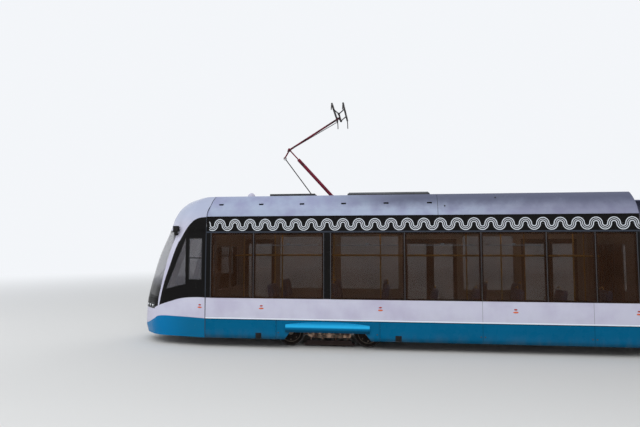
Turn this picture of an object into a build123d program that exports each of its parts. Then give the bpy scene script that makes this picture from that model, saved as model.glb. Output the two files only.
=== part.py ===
from build123d import *
import os

# A three-section low-floor city tram, with one bogie under each section.
# Millimetres. +X is forward, +Y is the tram's left, +Z is up.
# Heights are above the rail head; write() lifts every piece by the flange depth, so the flanges touch Z = 0.

FLANGE_DEPTH = 26
OVERALL_LENGTH = 27500
HALF_WIDTH = 1250

# Places along the tram
CAB_SEAM_X = 11840
END_BODY_X = 2380
MIDDLE_BODY_X = 1850
PIVOT_X = (END_BODY_X + MIDDLE_BODY_X) / 2
END_BOGIE_X = 9000

# Heights of the body side
SKIRT_BOTTOM = 200
FLOOR_TOP = 360
WAIST_LINE = 640
SILL = 1150
WINDOW_TOP = 2610
WALL_TOP = 3000
FAIRING_TOP = 3490
FAIRING_TOP_HALF = 1000
CEILING = 2700
ROOF_DECK = 3030

# Thicknesses
WALL = 50
GLASS = 8
SKIRT = 30
FAIRING = 30
PODIUM_WALL = 22
SHELL = 40

# Running gear
GAUGE = 1524
WHEELBASE = 1800
WHEEL_RADIUS = 310
TREAD_WIDTH = 95
FLANGE_WIDTH = 28
AXLE_RADIUS = 70
RUNNING_CLEARANCE = 0.3
AXLE_Z = WHEEL_RADIUS

# Space for a bogie under the floor
WELL_HALF_LENGTH = 1420
WELL_FLOOR = 500
AISLE_HALF = 455
PODIUM_TOP = 760
RAMP_LENGTH = 1000
CUTOUT_BOTTOM_HALF = 980
CUTOUT_TOP_HALF = 850
CUTOUT_TOP = 370
HATCH_HALF = 1180
PIVOT_PIN_RADIUS = 60
PIVOT_PIN_LOW = 250
SPRING_SEAT_HALF = 300
SPRING_SEAT_Z = 600
JACK_X = 1580
JACK_WIDTH = 130
JACK_TOP = 290

# Window panes of the left side of the front section, from the cab to the joint: low x, high x
LEFT_PANES = (
    (10712, 11730), (9080, 10708), (7272, 8920), (5622, 7268), (4262, 5618), (3272, 4258), (2440, 3268)
)
# The right side has doors between its panes
RIGHT_PANES = ((9080, 10630), (7272, 8920), (4262, 5640))
MIDDLE_PANES = ((40, 1740), (-1740, -40))
# Doors of the front section, all on the right: low x, high x, number of leaves
DOORS = ((10750, 11600, 1), (5760, 7160, 2), (2700, 4100, 2))
DOOR_BOTTOM = 300
DOOR_TOP = 2500
DOOR_THICKNESS = 40
MULLION = 40


def block(x0, x1, y0, y1, z0, z1):
    """A box between two opposite corners."""
    centre = ((x0 + x1) / 2, (y0 + y1) / 2, (z0 + z1) / 2)
    return Pos(*centre) * Box(x1 - x0, y1 - y0, z1 - z0)


def side_plate(outline, y0, y1):
    """A closed outline of (x, z) points, as thick as y0 to y1."""
    wire = Polyline(*[(x, y0, z) for x, z in outline], close=True)
    return extrude(make_face(wire), amount=y1 - y0, dir=(0, 1, 0))


def cross_bar(outline, x0, x1):
    """A closed outline of (y, z) points, as long as x0 to x1."""
    wire = Polyline(*[(x0, y, z) for y, z in outline], close=True)
    return extrude(make_face(wire), amount=x1 - x0, dir=(1, 0, 0))


def rod(start, end, radius):
    """A round bar from one point to another."""
    path = Vector(*end) - Vector(*start)
    return Plane(origin=start, z_dir=path) * Cylinder(
        radius, path.length, align=(Align.CENTER, Align.CENTER, Align.MIN)
    )


def cross_pin(x, z, y0, y1, radius):
    """A round bar across the tram."""
    return rod((x, y0, z), (x, y1, z), radius)


def mirrored(piece):
    """The same piece on the other side of the tram's centre line."""
    return mirror(piece, about=Plane.XZ)


def both_sides(piece):
    return [piece, mirrored(piece)]


def reversed_end(pieces):
    """The same pieces at the other end of the tram."""
    return [mirror(piece, about=Plane.YZ) for piece in pieces]


def solids_of(pieces):
    """Every separate solid in a list of shapes."""
    found = []
    for piece in pieces:
        found += list(piece.solids())
    return found


def fused(pieces):
    whole = pieces[0]
    for piece in pieces[1:]:
        whole = whole + piece
    return whole


os.makedirs("parts", exist_ok=True)


def write(name, pieces):
    """One file for each named piece of the tram, lifted onto its flanges."""
    lifted = [Pos(0, 0, FLANGE_DEPTH) * solid for solid in solids_of(pieces)]
    export_step(Compound(children=lifted) if len(lifted) > 1 else lifted[0], f"parts/{name}.step")


# Side walls: one flat wall for each side, with the glazing set in a shallow step


GUTTER_LOW, GUTTER_HIGH, GUTTER_PROUD = 2618, 2652, 7


def wall(x0, x1, panes, doors, side):
    """Side wall on +Y, or on -Y where side is -1, with a rain gutter over the glass."""
    inner, outer = HALF_WIDTH - WALL, HALF_WIDTH
    body = block(x0, x1, inner, outer, WAIST_LINE, WALL_TOP)
    body = body + block(x0, x1, outer - 1, outer + GUTTER_PROUD, GUTTER_LOW, GUTTER_HIGH)
    for low, high in panes:
        step = block(low, high, outer - GLASS, outer + 1, SILL - MULLION, WINDOW_TOP)
        hole = block(low + MULLION, high - MULLION, inner - 1, outer, SILL, WINDOW_TOP - MULLION)
        body = body - step - hole
    for low, high, _ in doors:
        body = body - block(low, high, inner - 1, outer + 1, WAIST_LINE - 1, DOOR_TOP)
    return body if side > 0 else mirrored(body)


def glazing(panes, side):
    """Flush panes bonded into the step of the wall."""
    joint = 3
    made = []
    for low, high in panes:
        bottom, top = SILL - MULLION + joint, WINDOW_TOP - joint
        pane = block(low + joint, high - joint, HALF_WIDTH - GLASS, HALF_WIDTH, bottom, top)
        made.append(pane if side > 0 else mirrored(pane))
    return made


# Doors: flush leaves with a tall pane each


def door_leaves(doors):
    made = []
    for low, high, count in doors:
        width = (high - low - 6 * (count - 1)) / count
        for number in range(count):
            start = low + number * (width + 6)
            leaf = block(start, start + width, HALF_WIDTH - DOOR_THICKNESS, HALF_WIDTH, DOOR_BOTTOM, DOOR_TOP)
            hole = block(
                start + 90, start + width - 90, HALF_WIDTH - DOOR_THICKNESS - 1, HALF_WIDTH + 1,
                DOOR_BOTTOM + 230, DOOR_TOP - 120,
            )
            made.append(mirrored(leaf - hole))
    return made


def door_panes(doors):
    made = []
    for low, high, count in doors:
        width = (high - low - 6 * (count - 1)) / count
        for number in range(count):
            start = low + number * (width + 6)
            pane = block(
                start + 90, start + width - 90, HALF_WIDTH - GLASS - 6, HALF_WIDTH - 6,
                DOOR_BOTTOM + 230, DOOR_TOP - 120,
            )
            made.append(mirrored(pane))
    return made


# Floor: a low underframe, a ramp and a raised bay with wheel boxes over the bogie


JOINT_GAP = 1
BAY_END = 60
BAY_HALF = WELL_HALF_LENGTH + BAY_END


def wheel_box(bogie_x):
    """Box over the wheels of one side, open below, that carries the seats."""
    inner = HALF_WIDTH - WALL
    low = WELL_FLOOR + JOINT_GAP
    whole = block(
        bogie_x - WELL_HALF_LENGTH, bogie_x + WELL_HALF_LENGTH, AISLE_HALF - PODIUM_WALL, inner, low, PODIUM_TOP
    )
    tunnel = block(
        bogie_x - WELL_HALF_LENGTH + PODIUM_WALL, bogie_x + WELL_HALF_LENGTH - PODIUM_WALL,
        AISLE_HALF, inner + 1, low - 1, PODIUM_TOP - PODIUM_WALL,
    )
    seat_block = block(
        bogie_x - SPRING_SEAT_HALF, bogie_x + SPRING_SEAT_HALF, 510, 690, SPRING_SEAT_Z, PODIUM_TOP - PODIUM_WALL + 5
    )
    return whole - tunnel + seat_block


def bay_deck(bogie_x):
    """Raised aisle floor over one bogie, with the centre pin below it."""
    low = WELL_FLOOR - PODIUM_WALL
    deck = block(bogie_x - BAY_HALF, bogie_x + BAY_HALF, -AISLE_HALF, AISLE_HALF, low, WELL_FLOOR)
    return deck + rod((bogie_x, 0, PIVOT_PIN_LOW), (bogie_x, 0, low + 5), PIVOT_PIN_RADIUS)


def bay_bulkheads(bogie_x):
    """Cross walls at the ends of the space for a bogie."""
    inner = HALF_WIDTH - WALL
    low = WELL_FLOOR - PODIUM_WALL - JOINT_GAP
    made = []
    for start in (bogie_x - BAY_HALF + JOINT_GAP, bogie_x + WELL_HALF_LENGTH):
        made.append(block(start, start + BAY_END - JOINT_GAP, -inner, inner, SKIRT_BOTTOM, low))
    return made


def ramp(x_foot, x_top):
    foot = FLOOR_TOP + JOINT_GAP
    return side_plate(((x_foot, foot), (x_top, foot), (x_top, WELL_FLOOR)), -AISLE_HALF, AISLE_HALF)


TURNTABLE_RADIUS = 690
TURNTABLE_THICKNESS = 14
TURNTABLE_GAP = 6
JOINT_PIN_RADIUS = 50
JOINT_EYE_RADIUS = 170


def turntable_recess(pivot_x, depth):
    return Pos(pivot_x, 0, FLOOR_TOP) * Cylinder(TURNTABLE_RADIUS + 10, 2 * depth)


def end_floor():
    """Floor of an end section, laid in separate panels: slabs, ramp, raised deck and wheel boxes."""
    inner = HALF_WIDTH - WALL
    bay = END_BOGIE_X
    rear_slab = block(END_BODY_X, bay - BAY_HALF, -inner, inner, SKIRT_BOTTOM, FLOOR_TOP)
    front_slab = block(bay + BAY_HALF, CAB_SEAM_X - JOINT_GAP, -inner, inner, SKIRT_BOTTOM, FLOOR_TOP)
    rear_slab = rear_slab - turntable_recess(PIVOT_X, TURNTABLE_THICKNESS + TURNTABLE_GAP)
    arm = block(PIVOT_X, END_BODY_X + 200, -130, 130, 262, 318)
    arm = arm + Pos(PIVOT_X, 0, 290) * Cylinder(JOINT_EYE_RADIUS, 56)
    arm = arm - Pos(PIVOT_X, 0, 290) * Cylinder(JOINT_PIN_RADIUS + RUNNING_CLEARANCE, 80)
    slope = ramp(bay - BAY_HALF - RAMP_LENGTH, bay - BAY_HALF - JOINT_GAP)
    return [
        rear_slab + arm, front_slab, slope, bay_deck(bay), *bay_bulkheads(bay), *both_sides(wheel_box(bay)),
    ]


def middle_floor():
    """Floor of the middle section, with the lower half of each joint."""
    inner = HALF_WIDTH - WALL
    made = [bay_deck(0), *both_sides(wheel_box(0))]
    for side, bulkhead in zip((-1, 1), bay_bulkheads(0)):
        near, far = side * (BAY_HALF + JOINT_GAP), side * MIDDLE_BODY_X
        pivot = side * PIVOT_X
        slab = block(min(near, far), max(near, far), -inner, inner, SKIRT_BOTTOM, FLOOR_TOP)
        root = side * (MIDDLE_BODY_X - 150)
        fork = block(min(pivot, root), max(pivot, root), -130, 130, 200, 254)
        fork = fork + Pos(pivot, 0, 227) * Cylinder(JOINT_EYE_RADIUS, 54)
        fork = fork + Pos(pivot, 0, 265) * Cylinder(JOINT_PIN_RADIUS, 130)
        made.append(slab - turntable_recess(pivot, TURNTABLE_THICKNESS) + fork)
        made.append(bulkhead - turntable_recess(pivot, TURNTABLE_THICKNESS + 1))
    return made


# Body ends: a portal frame for the gangway, and the pleated bellows between two portals

PORTAL = 50
PORTAL_OPENING_HALF = 720
PORTAL_OPENING_TOP = 2350
BELLOWS_HALF = 1140
BELLOWS_BOTTOM = 215
BELLOWS_TOP = 2900
BELLOWS_WALL = 70
PLEATS = 9
PLEAT_DEPTH = 45


def portal(x0, x1):
    inner = HALF_WIDTH - WALL
    plate = block(x0, x1, -inner, inner, FLOOR_TOP, 2640)
    return plate - block(
        x0 - 1, x1 + 1, -PORTAL_OPENING_HALF, PORTAL_OPENING_HALF, FLOOR_TOP - 1, PORTAL_OPENING_TOP
    )


def arch(x0, x1, grow):
    """One frame of the bellows: two sides and a top, open at the bottom where the floor passes."""
    top = BELLOWS_TOP + grow
    inner_half = BELLOWS_HALF - BELLOWS_WALL
    outer = block(x0, x1, -BELLOWS_HALF - grow, BELLOWS_HALF + grow, BELLOWS_BOTTOM, top)
    inner_top = BELLOWS_TOP - BELLOWS_WALL
    return outer - block(x0 - 1, x1 + 1, -inner_half, inner_half, BELLOWS_BOTTOM - 1, inner_top)


def bellows():
    """Closed pleats between the middle section's portal and the end section's."""
    start, end = MIDDLE_BODY_X + 2, END_BODY_X - 2
    pitch = (end - start) / PLEATS
    whole = arch(start, end, 0)
    for number in range(PLEATS):
        low = start + number * pitch
        whole = whole + arch(low + pitch * 0.25, low + pitch * 0.75, PLEAT_DEPTH)
    return whole


def turntable():
    """Round tread plate that covers the joint between two floors."""
    plate = Cylinder(TURNTABLE_RADIUS, TURNTABLE_THICKNESS)
    return Pos(PIVOT_X, 0, FLOOR_TOP - TURNTABLE_THICKNESS / 2) * plate


# Roof: a deck with a coved ceiling, and sloping fairings that hide what stands on it


def roof_deck(x0, x1):
    inner = HALF_WIDTH - WALL
    return cross_bar(
        (
            (-inner, ROOF_DECK), (-inner, WINDOW_TOP + 30), (-inner + 260, CEILING),
            (inner - 260, CEILING), (inner, WINDOW_TOP + 30), (inner, ROOF_DECK),
        ),
        x0,
        x1,
    )


# Air slots of the fairings: distance of the first from the front end, pitch, length, heights
SLOT_START, SLOT_PITCH, SLOT_LENGTH = 320, 963, 110
SLOT_LOW, SLOT_HIGH = 3262, 3300


def fairing(x0, x1, slant_front, slant_rear):
    """One side fairing with a rounded shoulder and air slots; each slant leans its end back."""
    foot, shoulder, top = WALL_TOP + 3, WALL_TOP + 150, FAIRING_TOP
    outer = [
        Line((x0, HALF_WIDTH, foot), (x0, HALF_WIDTH - 22, shoulder)),
        ThreePointArc(
            (x0, HALF_WIDTH - 22, shoulder),
            (x0, HALF_WIDTH - 118, shoulder + 205),
            (x0, FAIRING_TOP_HALF, top),
        ),
        Line((x0, FAIRING_TOP_HALF, top), (x0, FAIRING_TOP_HALF - 30, top - FAIRING)),
        ThreePointArc(
            (x0, FAIRING_TOP_HALF - 30, top - FAIRING),
            (x0, HALF_WIDTH - 118 - FAIRING, shoulder + 205 - 12),
            (x0, HALF_WIDTH - 22 - FAIRING, shoulder),
        ),
        Line((x0, HALF_WIDTH - 22 - FAIRING, shoulder), (x0, HALF_WIDTH - FAIRING, foot)),
        Line((x0, HALF_WIDTH - FAIRING, foot), (x0, HALF_WIDTH, foot)),
    ]
    body = extrude(make_face(Wire(outer)), amount=x1 - x0, dir=(1, 0, 0))
    slanted = ((x0, foot - 1), (x1, foot - 1), (x1 - slant_front, top + 1), (x0 + slant_rear, top + 1))
    body = body & side_plate(slanted, 0, HALF_WIDTH + 10)
    slot_x = x1 - SLOT_START
    while slot_x > x0 + SLOT_PITCH / 4:
        rear, front = slot_x - SLOT_LENGTH / 2, slot_x + SLOT_LENGTH / 2
        body = body - block(rear, front, FAIRING_TOP_HALF, HALF_WIDTH, SLOT_LOW, SLOT_HIGH)
        slot_x -= SLOT_PITCH
    return body


# Skirts: lower panels with the bogie hatch, its raised cover and the jacking notches

COVER_HALF = 950
COVER_END_TOP = 540
COVER_MIDDLE_TOP = 607
COVER_CREASE = 490
COVER_PROUD = 35
SEAM = 4


def skirt_section(x0, x1):
    return cross_bar(
        (
            (HALF_WIDTH - 5, WAIST_LINE - 3), (HALF_WIDTH - SKIRT, WAIST_LINE - 3), (HALF_WIDTH - SKIRT, 330),
            (HALF_WIDTH - SKIRT - 18, SKIRT_BOTTOM), (HALF_WIDTH - 20, SKIRT_BOTTOM), (HALF_WIDTH - 5, 320),
        ),
        x0,
        x1,
    )


def bogie_cover(bogie_x):
    """Raised cover over the wheel opening, with an arched top and a sloping upper face."""
    arch = Wire([
        Line((bogie_x - COVER_HALF, 1200, CUTOUT_TOP), (bogie_x + COVER_HALF, 1200, CUTOUT_TOP)),
        Line((bogie_x + COVER_HALF, 1200, CUTOUT_TOP), (bogie_x + COVER_HALF, 1200, COVER_END_TOP)),
        ThreePointArc(
            (bogie_x + COVER_HALF, 1200, COVER_END_TOP), (bogie_x, 1200, COVER_MIDDLE_TOP),
            (bogie_x - COVER_HALF, 1200, COVER_END_TOP),
        ),
        Line((bogie_x - COVER_HALF, 1200, COVER_END_TOP), (bogie_x - COVER_HALF, 1200, CUTOUT_TOP)),
    ])
    side_view = extrude(make_face(arch), amount=150, dir=(0, 1, 0))
    proud = HALF_WIDTH - 5 + COVER_PROUD
    section = cross_bar(
        (
            (HALF_WIDTH - 8, CUTOUT_TOP), (proud, CUTOUT_TOP), (proud, COVER_CREASE),
            (HALF_WIDTH - 5, COVER_MIDDLE_TOP), (HALF_WIDTH - 8, COVER_MIDDLE_TOP),
        ),
        bogie_x - COVER_HALF,
        bogie_x + COVER_HALF,
    )
    return side_view & section


def hatch(bogie_x, low, high):
    """The skirt panel beside a bogie."""
    cutout = side_plate(
        (
            (bogie_x - CUTOUT_BOTTOM_HALF, SKIRT_BOTTOM - 1),
            (bogie_x + CUTOUT_BOTTOM_HALF, SKIRT_BOTTOM - 1),
            (bogie_x + CUTOUT_TOP_HALF, CUTOUT_TOP), (bogie_x - CUTOUT_TOP_HALF, CUTOUT_TOP),
        ),
        1000,
        1400,
    )
    return skirt_section(low, high) - cutout + bogie_cover(bogie_x)


def skirts(x0, x1, bogie_x, doors):
    """Both sides' skirt panels of one section."""
    made = []
    for side in (1, -1):
        panels = [
            skirt_section(x0, bogie_x - HATCH_HALF - SEAM),
            hatch(bogie_x, bogie_x - HATCH_HALF, bogie_x + HATCH_HALF),
            skirt_section(bogie_x + HATCH_HALF + SEAM, x1),
        ]
        for panel in panels:
            for end in (-1, 1):
                jack = bogie_x + end * JACK_X
                panel = panel - block(jack - JACK_WIDTH / 2, jack + JACK_WIDTH / 2, 1000, 1400, 100, JACK_TOP)
            if side < 0:
                for low, high, _ in doors:
                    panel = panel - block(low, high, 1000, 1400, DOOR_BOTTOM, WAIST_LINE)
                panel = mirrored(panel)
            made.append(panel)
    return made


# Nose: horizontal outlines, each a tapering side, a slanting corner and a flat front, all rounded

# height, back x, front x, half width at the back, corner depth
NOSE_OUTLINES = (
    (200, 11840, 13700, 1245, 570),
    (420, 11840, 13750, 1250, 570),
    (640, 11840, 13745, 1250, 570),
    (1000, 11840, 13715, 1250, 570),
    (1420, 11840, 13610, 1250, 570),
    (2070, 11840, 13400, 1250, 570),
    (2760, 11840, 13070, 1250, 570),
    (3040, 11840, 12950, 1245, 570),
    (3260, 11770, 12780, 1175, 520),
    (3410, 11727, 12520, 1085, 430),
    (3490, 11704, 12180, 990, 260),
)
NOSE_BOTTOM = NOSE_OUTLINES[0][0]
SIDE_TAPER = 0.194
CORNER_ROUND = 1.4


def nose_outline(height, back, front, half, depth, inset):
    """One closed horizontal outline of the nose, moved inwards by inset."""
    half = half - inset
    front = front - inset
    corner_x = front - depth
    corner_y = half - SIDE_TAPER * (corner_x - back)
    points = (
        (back, half), (corner_x, corner_y), (front, corner_y - depth),
        (front, depth - corner_y), (corner_x, -corner_y), (back, -half),
    )
    face = make_face(Polyline(*[(x, y, height) for x, y in points], close=True))
    corners = [v for v in face.vertices() if v.X > back + 1]
    return fillet(corners, CORNER_ROUND * depth).face()


def nose_form(low, high, inset):
    """The nose between two heights, as a ruled body through the outlines."""
    rows = [row for row in NOSE_OUTLINES if low <= row[0] <= high]
    return loft([nose_outline(*row, inset) for row in rows], ruled=True)


# Openings of the nose shell

SCREEN_BOTTOM, SCREEN_TOP = 1060, 2690
SCREEN_BOTTOM_HALF, SCREEN_TOP_HALF = 965, 1000
SCREEN_GLASS = 14
CAP_BOTTOM = 2760
LAMP_LOW, LAMP_HIGH = 800, 930
LAMP_INNER, LAMP_OUTER = 480, 900
TAIL_WINDOW_BOTTOM, TAIL_WINDOW_TOP, TAIL_WINDOW_HALF = 1300, 2500, 800
QUARTER_PANE = ((12390, 2500), (12900, 1290), (12380, 1420))
DRIVER_PANE = ((11960, 1530), (12290, 1530), (12290, 2490), (11960, 2490))


def screen_space():
    return cross_bar(
        (
            (-SCREEN_BOTTOM_HALF, SCREEN_BOTTOM), (SCREEN_BOTTOM_HALF, SCREEN_BOTTOM),
            (SCREEN_TOP_HALF, SCREEN_TOP), (-SCREEN_TOP_HALF, SCREEN_TOP),
        ),
        12300,
        13900,
    )


def tail_window_space():
    return block(12300, 13900, -TAIL_WINDOW_HALF, TAIL_WINDOW_HALF, TAIL_WINDOW_BOTTOM, TAIL_WINDOW_TOP)


def cab_side_space():
    return [side_plate(QUARTER_PANE, 900, 1400), side_plate(DRIVER_PANE, 900, 1400)]


def lamp_space():
    return block(12500, 13900, LAMP_INNER, LAMP_OUTER, LAMP_LOW, LAMP_HIGH)


def nose_layer(low, high, outer_inset, inner_inset):
    """A shell of the nose between two insets."""
    return nose_form(low, high, outer_inset) - nose_form(low, high, inner_inset)


def nose_shell(spaces):
    body = nose_layer(WAIST_LINE, CAP_BOTTOM, 0, SHELL)
    for space in spaces:
        body = body - space - mirrored(space)
    return body


def nose_glass(spaces):
    sheet = nose_layer(WAIST_LINE, CAP_BOTTOM, 3, 3 + SCREEN_GLASS)
    return [sheet & space for space in spaces]


def lamp_units():
    sheet = nose_layer(WAIST_LINE, CAP_BOTTOM, 0, SHELL)
    unit = sheet & lamp_space()
    return [unit, mirrored(unit)]


CAB_FLOOR_FRONT = 13400
CAB_FLOOR_THICKNESS = 55


def nose_floor():
    underside = FLOOR_TOP - CAB_FLOOR_THICKNESS
    slab = block(CAB_SEAM_X, CAB_FLOOR_FRONT, -HALF_WIDTH, HALF_WIDTH, underside, FLOOR_TOP)
    return slab & nose_form(NOSE_BOTTOM, WAIST_LINE, SHELL)


# Cab fittings

PARTITION_X = 11640


def partition():
    plate = block(PARTITION_X, PARTITION_X + 30, -HALF_WIDTH + WALL, HALF_WIDTH - WALL, FLOOR_TOP, WINDOW_TOP)
    pane = block(PARTITION_X - 1, PARTITION_X + 31, 60, 1050, 1250, 2300)
    return plate - pane - block(PARTITION_X - 1, PARTITION_X + 31, -760, -60, 1250, 2300)


def desk():
    section = ((12780, 860), (12800, 1020), (13050, 1080), (13520, 1040), (13520, 930), (12900, 830))
    top = side_plate(section, -760, 760)
    leg = block(13000, 13300, -560, 560, FLOOR_TOP, 900)
    return (top + leg) & nose_form(NOSE_BOTTOM, CAP_BOTTOM, SHELL + 3)


def driver_seat():
    base = Pos(12300, 0, FLOOR_TOP) * Cylinder(150, 60, align=(Align.CENTER, Align.CENTER, Align.MIN))
    stem = block(12230, 12370, -90, 90, FLOOR_TOP, 800)
    shape = side_plate(
        (
            (12080, 800), (12560, 800), (12580, 900), (12170, 900), (12080, 1450), (12060, 1640),
            (11980, 1640), (12000, 1400), (12060, 860),
        ),
        -240,
        240,
    )
    return base + stem + shape


def camera_arms():
    """Rear-view cameras on short arms at the top corners of the cab."""
    housing = fillet(block(12590, 12720, 1065, 1150, 2650, 2790).edges().filter_by(Axis.Z), 18)
    arm = block(12640, 12680, 960, 1080, 2700, 2730) + housing
    return both_sides(arm - nose_form(WAIST_LINE, CAP_BOTTOM, 0))


# Seats and handrails

SEAT_DEPTH = 430
SEAT_BACK = 60


SEAT_GAP = 12
SEAT_CORNER = 70


def seat(back_x, facing, y0, y1, base):
    """A moulded seat: facing is 1 towards the front, -1 towards the rear; base is what it stands on."""
    cushion = base + 90 if base > WELL_FLOOR else base + 430
    outline = (
        (0, base), (SEAT_DEPTH - 60, base), (SEAT_DEPTH, cushion - 70), (SEAT_DEPTH, cushion),
        (SEAT_BACK + 20, cushion - 15), (SEAT_BACK - 40, cushion + 560), (-70, cushion + 560),
        (0, cushion - 20),
    )
    if base <= WELL_FLOOR:
        outline = (
            (120, base), (220, base), (220, cushion - 60), (SEAT_DEPTH, cushion - 60),
            (SEAT_DEPTH, cushion), (SEAT_BACK + 20, cushion - 15), (SEAT_BACK - 40, cushion + 560),
            (-70, cushion + 560), (0, cushion - 60), (120, cushion - 60),
        )
    shape = side_plate([(back_x + facing * x, z) for x, z in outline], y0, y1)
    shoulders = [edge for edge in shape.edges().filter_by(Axis.X) if edge.center().Z > cushion + 500]
    return fillet(shoulders, SEAT_CORNER)


def seat_pair(back_x, facing, y0, y1, base):
    middle = (y0 + y1) / 2
    return [
        seat(back_x, facing, y0, middle - SEAT_GAP / 2, base),
        seat(back_x, facing, middle + SEAT_GAP / 2, y1, base),
    ]


def podium_seats(bogie_x):
    """Double seats on the wheel boxes, in two facing pairs on each side."""
    made = []
    for back, facing in ((-1330, 1), (-75, -1), (75, 1), (1330, -1)):
        for place in seat_pair(bogie_x + back, facing, AISLE_HALF + 20, HALF_WIDTH - WALL - 15, PODIUM_TOP):
            made += both_sides(place)
    return made


def low_seats(backs, side):
    made = []
    for back in backs:
        bench = seat(back, 1, HALF_WIDTH - WALL - 470, HALF_WIDTH - WALL - 15, FLOOR_TOP)
        made.append(bench if side > 0 else mirrored(bench))
    return made


POLE_RADIUS = 17
RAIL_Z = 2080
AISLE_EDGE = 400


def handrails(x0, x1, poles):
    """Overhead rails along the aisle, carried by poles."""
    made = []
    for y in (-AISLE_EDGE, AISLE_EDGE):
        made.append(rod((x0, y, RAIL_Z), (x1, y, RAIL_Z), POLE_RADIUS))
    for x, side, foot in poles:
        y = side * AISLE_EDGE
        made.append(rod((x, y, foot), (x, y, CEILING), POLE_RADIUS))
    return fused(made)


# Bogies

BEAM_INNER, BEAM_OUTER = 560, 640
BOX_HALF = 105
TRACK_BRAKE_HALF = 590


def bogie_frame(centre):
    """Two cranked side beams inside the wheels, a transom with the pivot bore, and the axle boxes."""
    beam = side_plate(
        (
            (-1060, 330), (-1060, 420), (-700, 450), (-420, 380),
            (420, 380), (700, 450), (1060, 420), (1060, 330),
            (700, 300), (420, 225), (-420, 225), (-700, 300),
        ),
        BEAM_INNER,
        BEAM_OUTER,
    )
    parts = both_sides(beam)
    parts.append(block(-250, 250, -BEAM_INNER, BEAM_INNER, 240, 370))
    for x in (-WHEELBASE / 2, WHEELBASE / 2):
        for y in (-600, 600):
            parts.append(block(x - BOX_HALF, x + BOX_HALF, y - 55, y + 55, AXLE_Z - 100, AXLE_Z + 90))
    whole = fused(parts)
    for x in (-WHEELBASE / 2, WHEELBASE / 2):
        whole = whole - cross_pin(x, AXLE_Z, -700, 700, AXLE_RADIUS + RUNNING_CLEARANCE)
    whole = whole - Pos(0, 0, 300) * Cylinder(PIVOT_PIN_RADIUS + RUNNING_CLEARANCE, 200)
    return Pos(centre, 0, 0) * whole


def spring(x, y, z0, z1, radius, turns):
    """A coil spring, as a stack of rounded rings round a core."""
    pitch = (z1 - z0) / turns
    core = rod((x, y, z0), (x, y, z1), radius * 0.62)
    for number in range(turns):
        core = core + Pos(x, y, z0 + (number + 0.5) * pitch) * Cylinder(radius, pitch * 0.55)
    return core


OUTRIGGER_HALF = 470
OUTRIGGER_INNER, OUTRIGGER_OUTER = 865, 925
ACTUATOR_X = (-OUTRIGGER_HALF + 50, 330)
ACTUATOR_Z, ACTUATOR_RADIUS = 310, 62
HANGER_X = (-430, -150, 150, 430)


def side_equipment():
    """Track brake hung from an outrigger beam, which also carries a damper and two brake actuators."""
    brake = block(-TRACK_BRAKE_HALF, TRACK_BRAKE_HALF, 768, 830, 14, 60)
    brake = brake + block(-TRACK_BRAKE_HALF + 70, TRACK_BRAKE_HALF - 70, 775, 822, 55, 118)
    for x in HANGER_X:
        brake = brake + block(x - 25, x + 25, BEAM_OUTER, OUTRIGGER_INNER + 5, 240, 290)
        brake = brake + block(x - 14, x + 14, 785, 812, 110, 250)
    beam = side_plate(
        (
            (-OUTRIGGER_HALF, 235), (-OUTRIGGER_HALF + 90, 205),
            (OUTRIGGER_HALF - 90, 205), (OUTRIGGER_HALF, 235),
            (OUTRIGGER_HALF, 285), (OUTRIGGER_HALF - 90, 270),
            (-OUTRIGGER_HALF + 90, 270), (-OUTRIGGER_HALF, 285),
        ),
        OUTRIGGER_INNER,
        OUTRIGGER_OUTER,
    )
    whole = brake + beam
    for x in ACTUATOR_X:
        whole = whole + cross_pin(x, ACTUATOR_Z, OUTRIGGER_INNER - 60, OUTRIGGER_OUTER + 22, ACTUATOR_RADIUS)
        whole = whole + cross_pin(x, ACTUATOR_Z, OUTRIGGER_OUTER + 15, OUTRIGGER_OUTER + 40, 34)
    middle = (OUTRIGGER_INNER + OUTRIGGER_OUTER) / 2
    whole = whole + rod((0, middle, 250), (0, middle, 380), 36) + rod((0, middle, 370), (0, middle, 520), 22)
    return whole


def bogie_gear(centre):
    """Motors with their gear cases, springs, and the side equipment between the wheels."""
    made = []
    for end in (-1, 1):
        axle_x = end * WHEELBASE / 2
        motor_x = end * 440
        side = -end
        motor = cross_pin(motor_x, 290, -side * 330, side * 130, 128)
        foot = block(min(end * 250, motor_x), max(end * 250, motor_x), -120, 120, 250, 330)
        case = cross_pin(axle_x, AXLE_Z, side * 140, side * 250, 145)
        case = case + cross_pin(motor_x, 290, side * 130, side * 250, 100)
        case = case + side_plate(
            ((axle_x, AXLE_Z - 110), (motor_x, 210), (motor_x, 370), (axle_x, AXLE_Z + 120)),
            min(side * 140, side * 250),
            max(side * 140, side * 250),
        )
        unit = motor + foot + case
        made.append(unit - cross_pin(axle_x, AXLE_Z, -400, 400, AXLE_RADIUS + RUNNING_CLEARANCE))
    for y in (-600, 600):
        for x in (-200, 200):
            made.append(spring(x, y, 380, SPRING_SEAT_Z - 10, 80, 3))
    made += both_sides(side_equipment())
    return [Pos(centre, 0, 0) * piece for piece in made]


def wheelset(centre):
    """Two flanged resilient wheels and a brake disc on one axle."""
    inner = GAUGE / 2 - FLANGE_WIDTH
    outer = GAUGE / 2 + TREAD_WIDTH
    profile = Polyline(
        (0, 0, 0), (0, 0, AXLE_RADIUS), (0, inner, AXLE_RADIUS),
        (0, inner + 25, 118), (0, inner + 40, 235), (0, inner, 262),
        (0, inner, WHEEL_RADIUS + FLANGE_DEPTH - 6), (0, inner + 12, WHEEL_RADIUS + FLANGE_DEPTH),
        (0, GAUGE / 2 + 6, WHEEL_RADIUS), (0, outer, WHEEL_RADIUS - 4),
        (0, outer - 38, 240), (0, outer - 38, 120), (0, outer, 105), (0, outer, 0),
        close=True,
    )
    wheel = revolve(make_face(profile), axis=Axis.Y)
    disc = cross_pin(0, 0, -60, -20, 150)
    return Pos(centre, 0, AXLE_Z) * (wheel + mirrored(wheel) + disc)


# Pantograph, in the tram's centre plane: places are (x, z)

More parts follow.
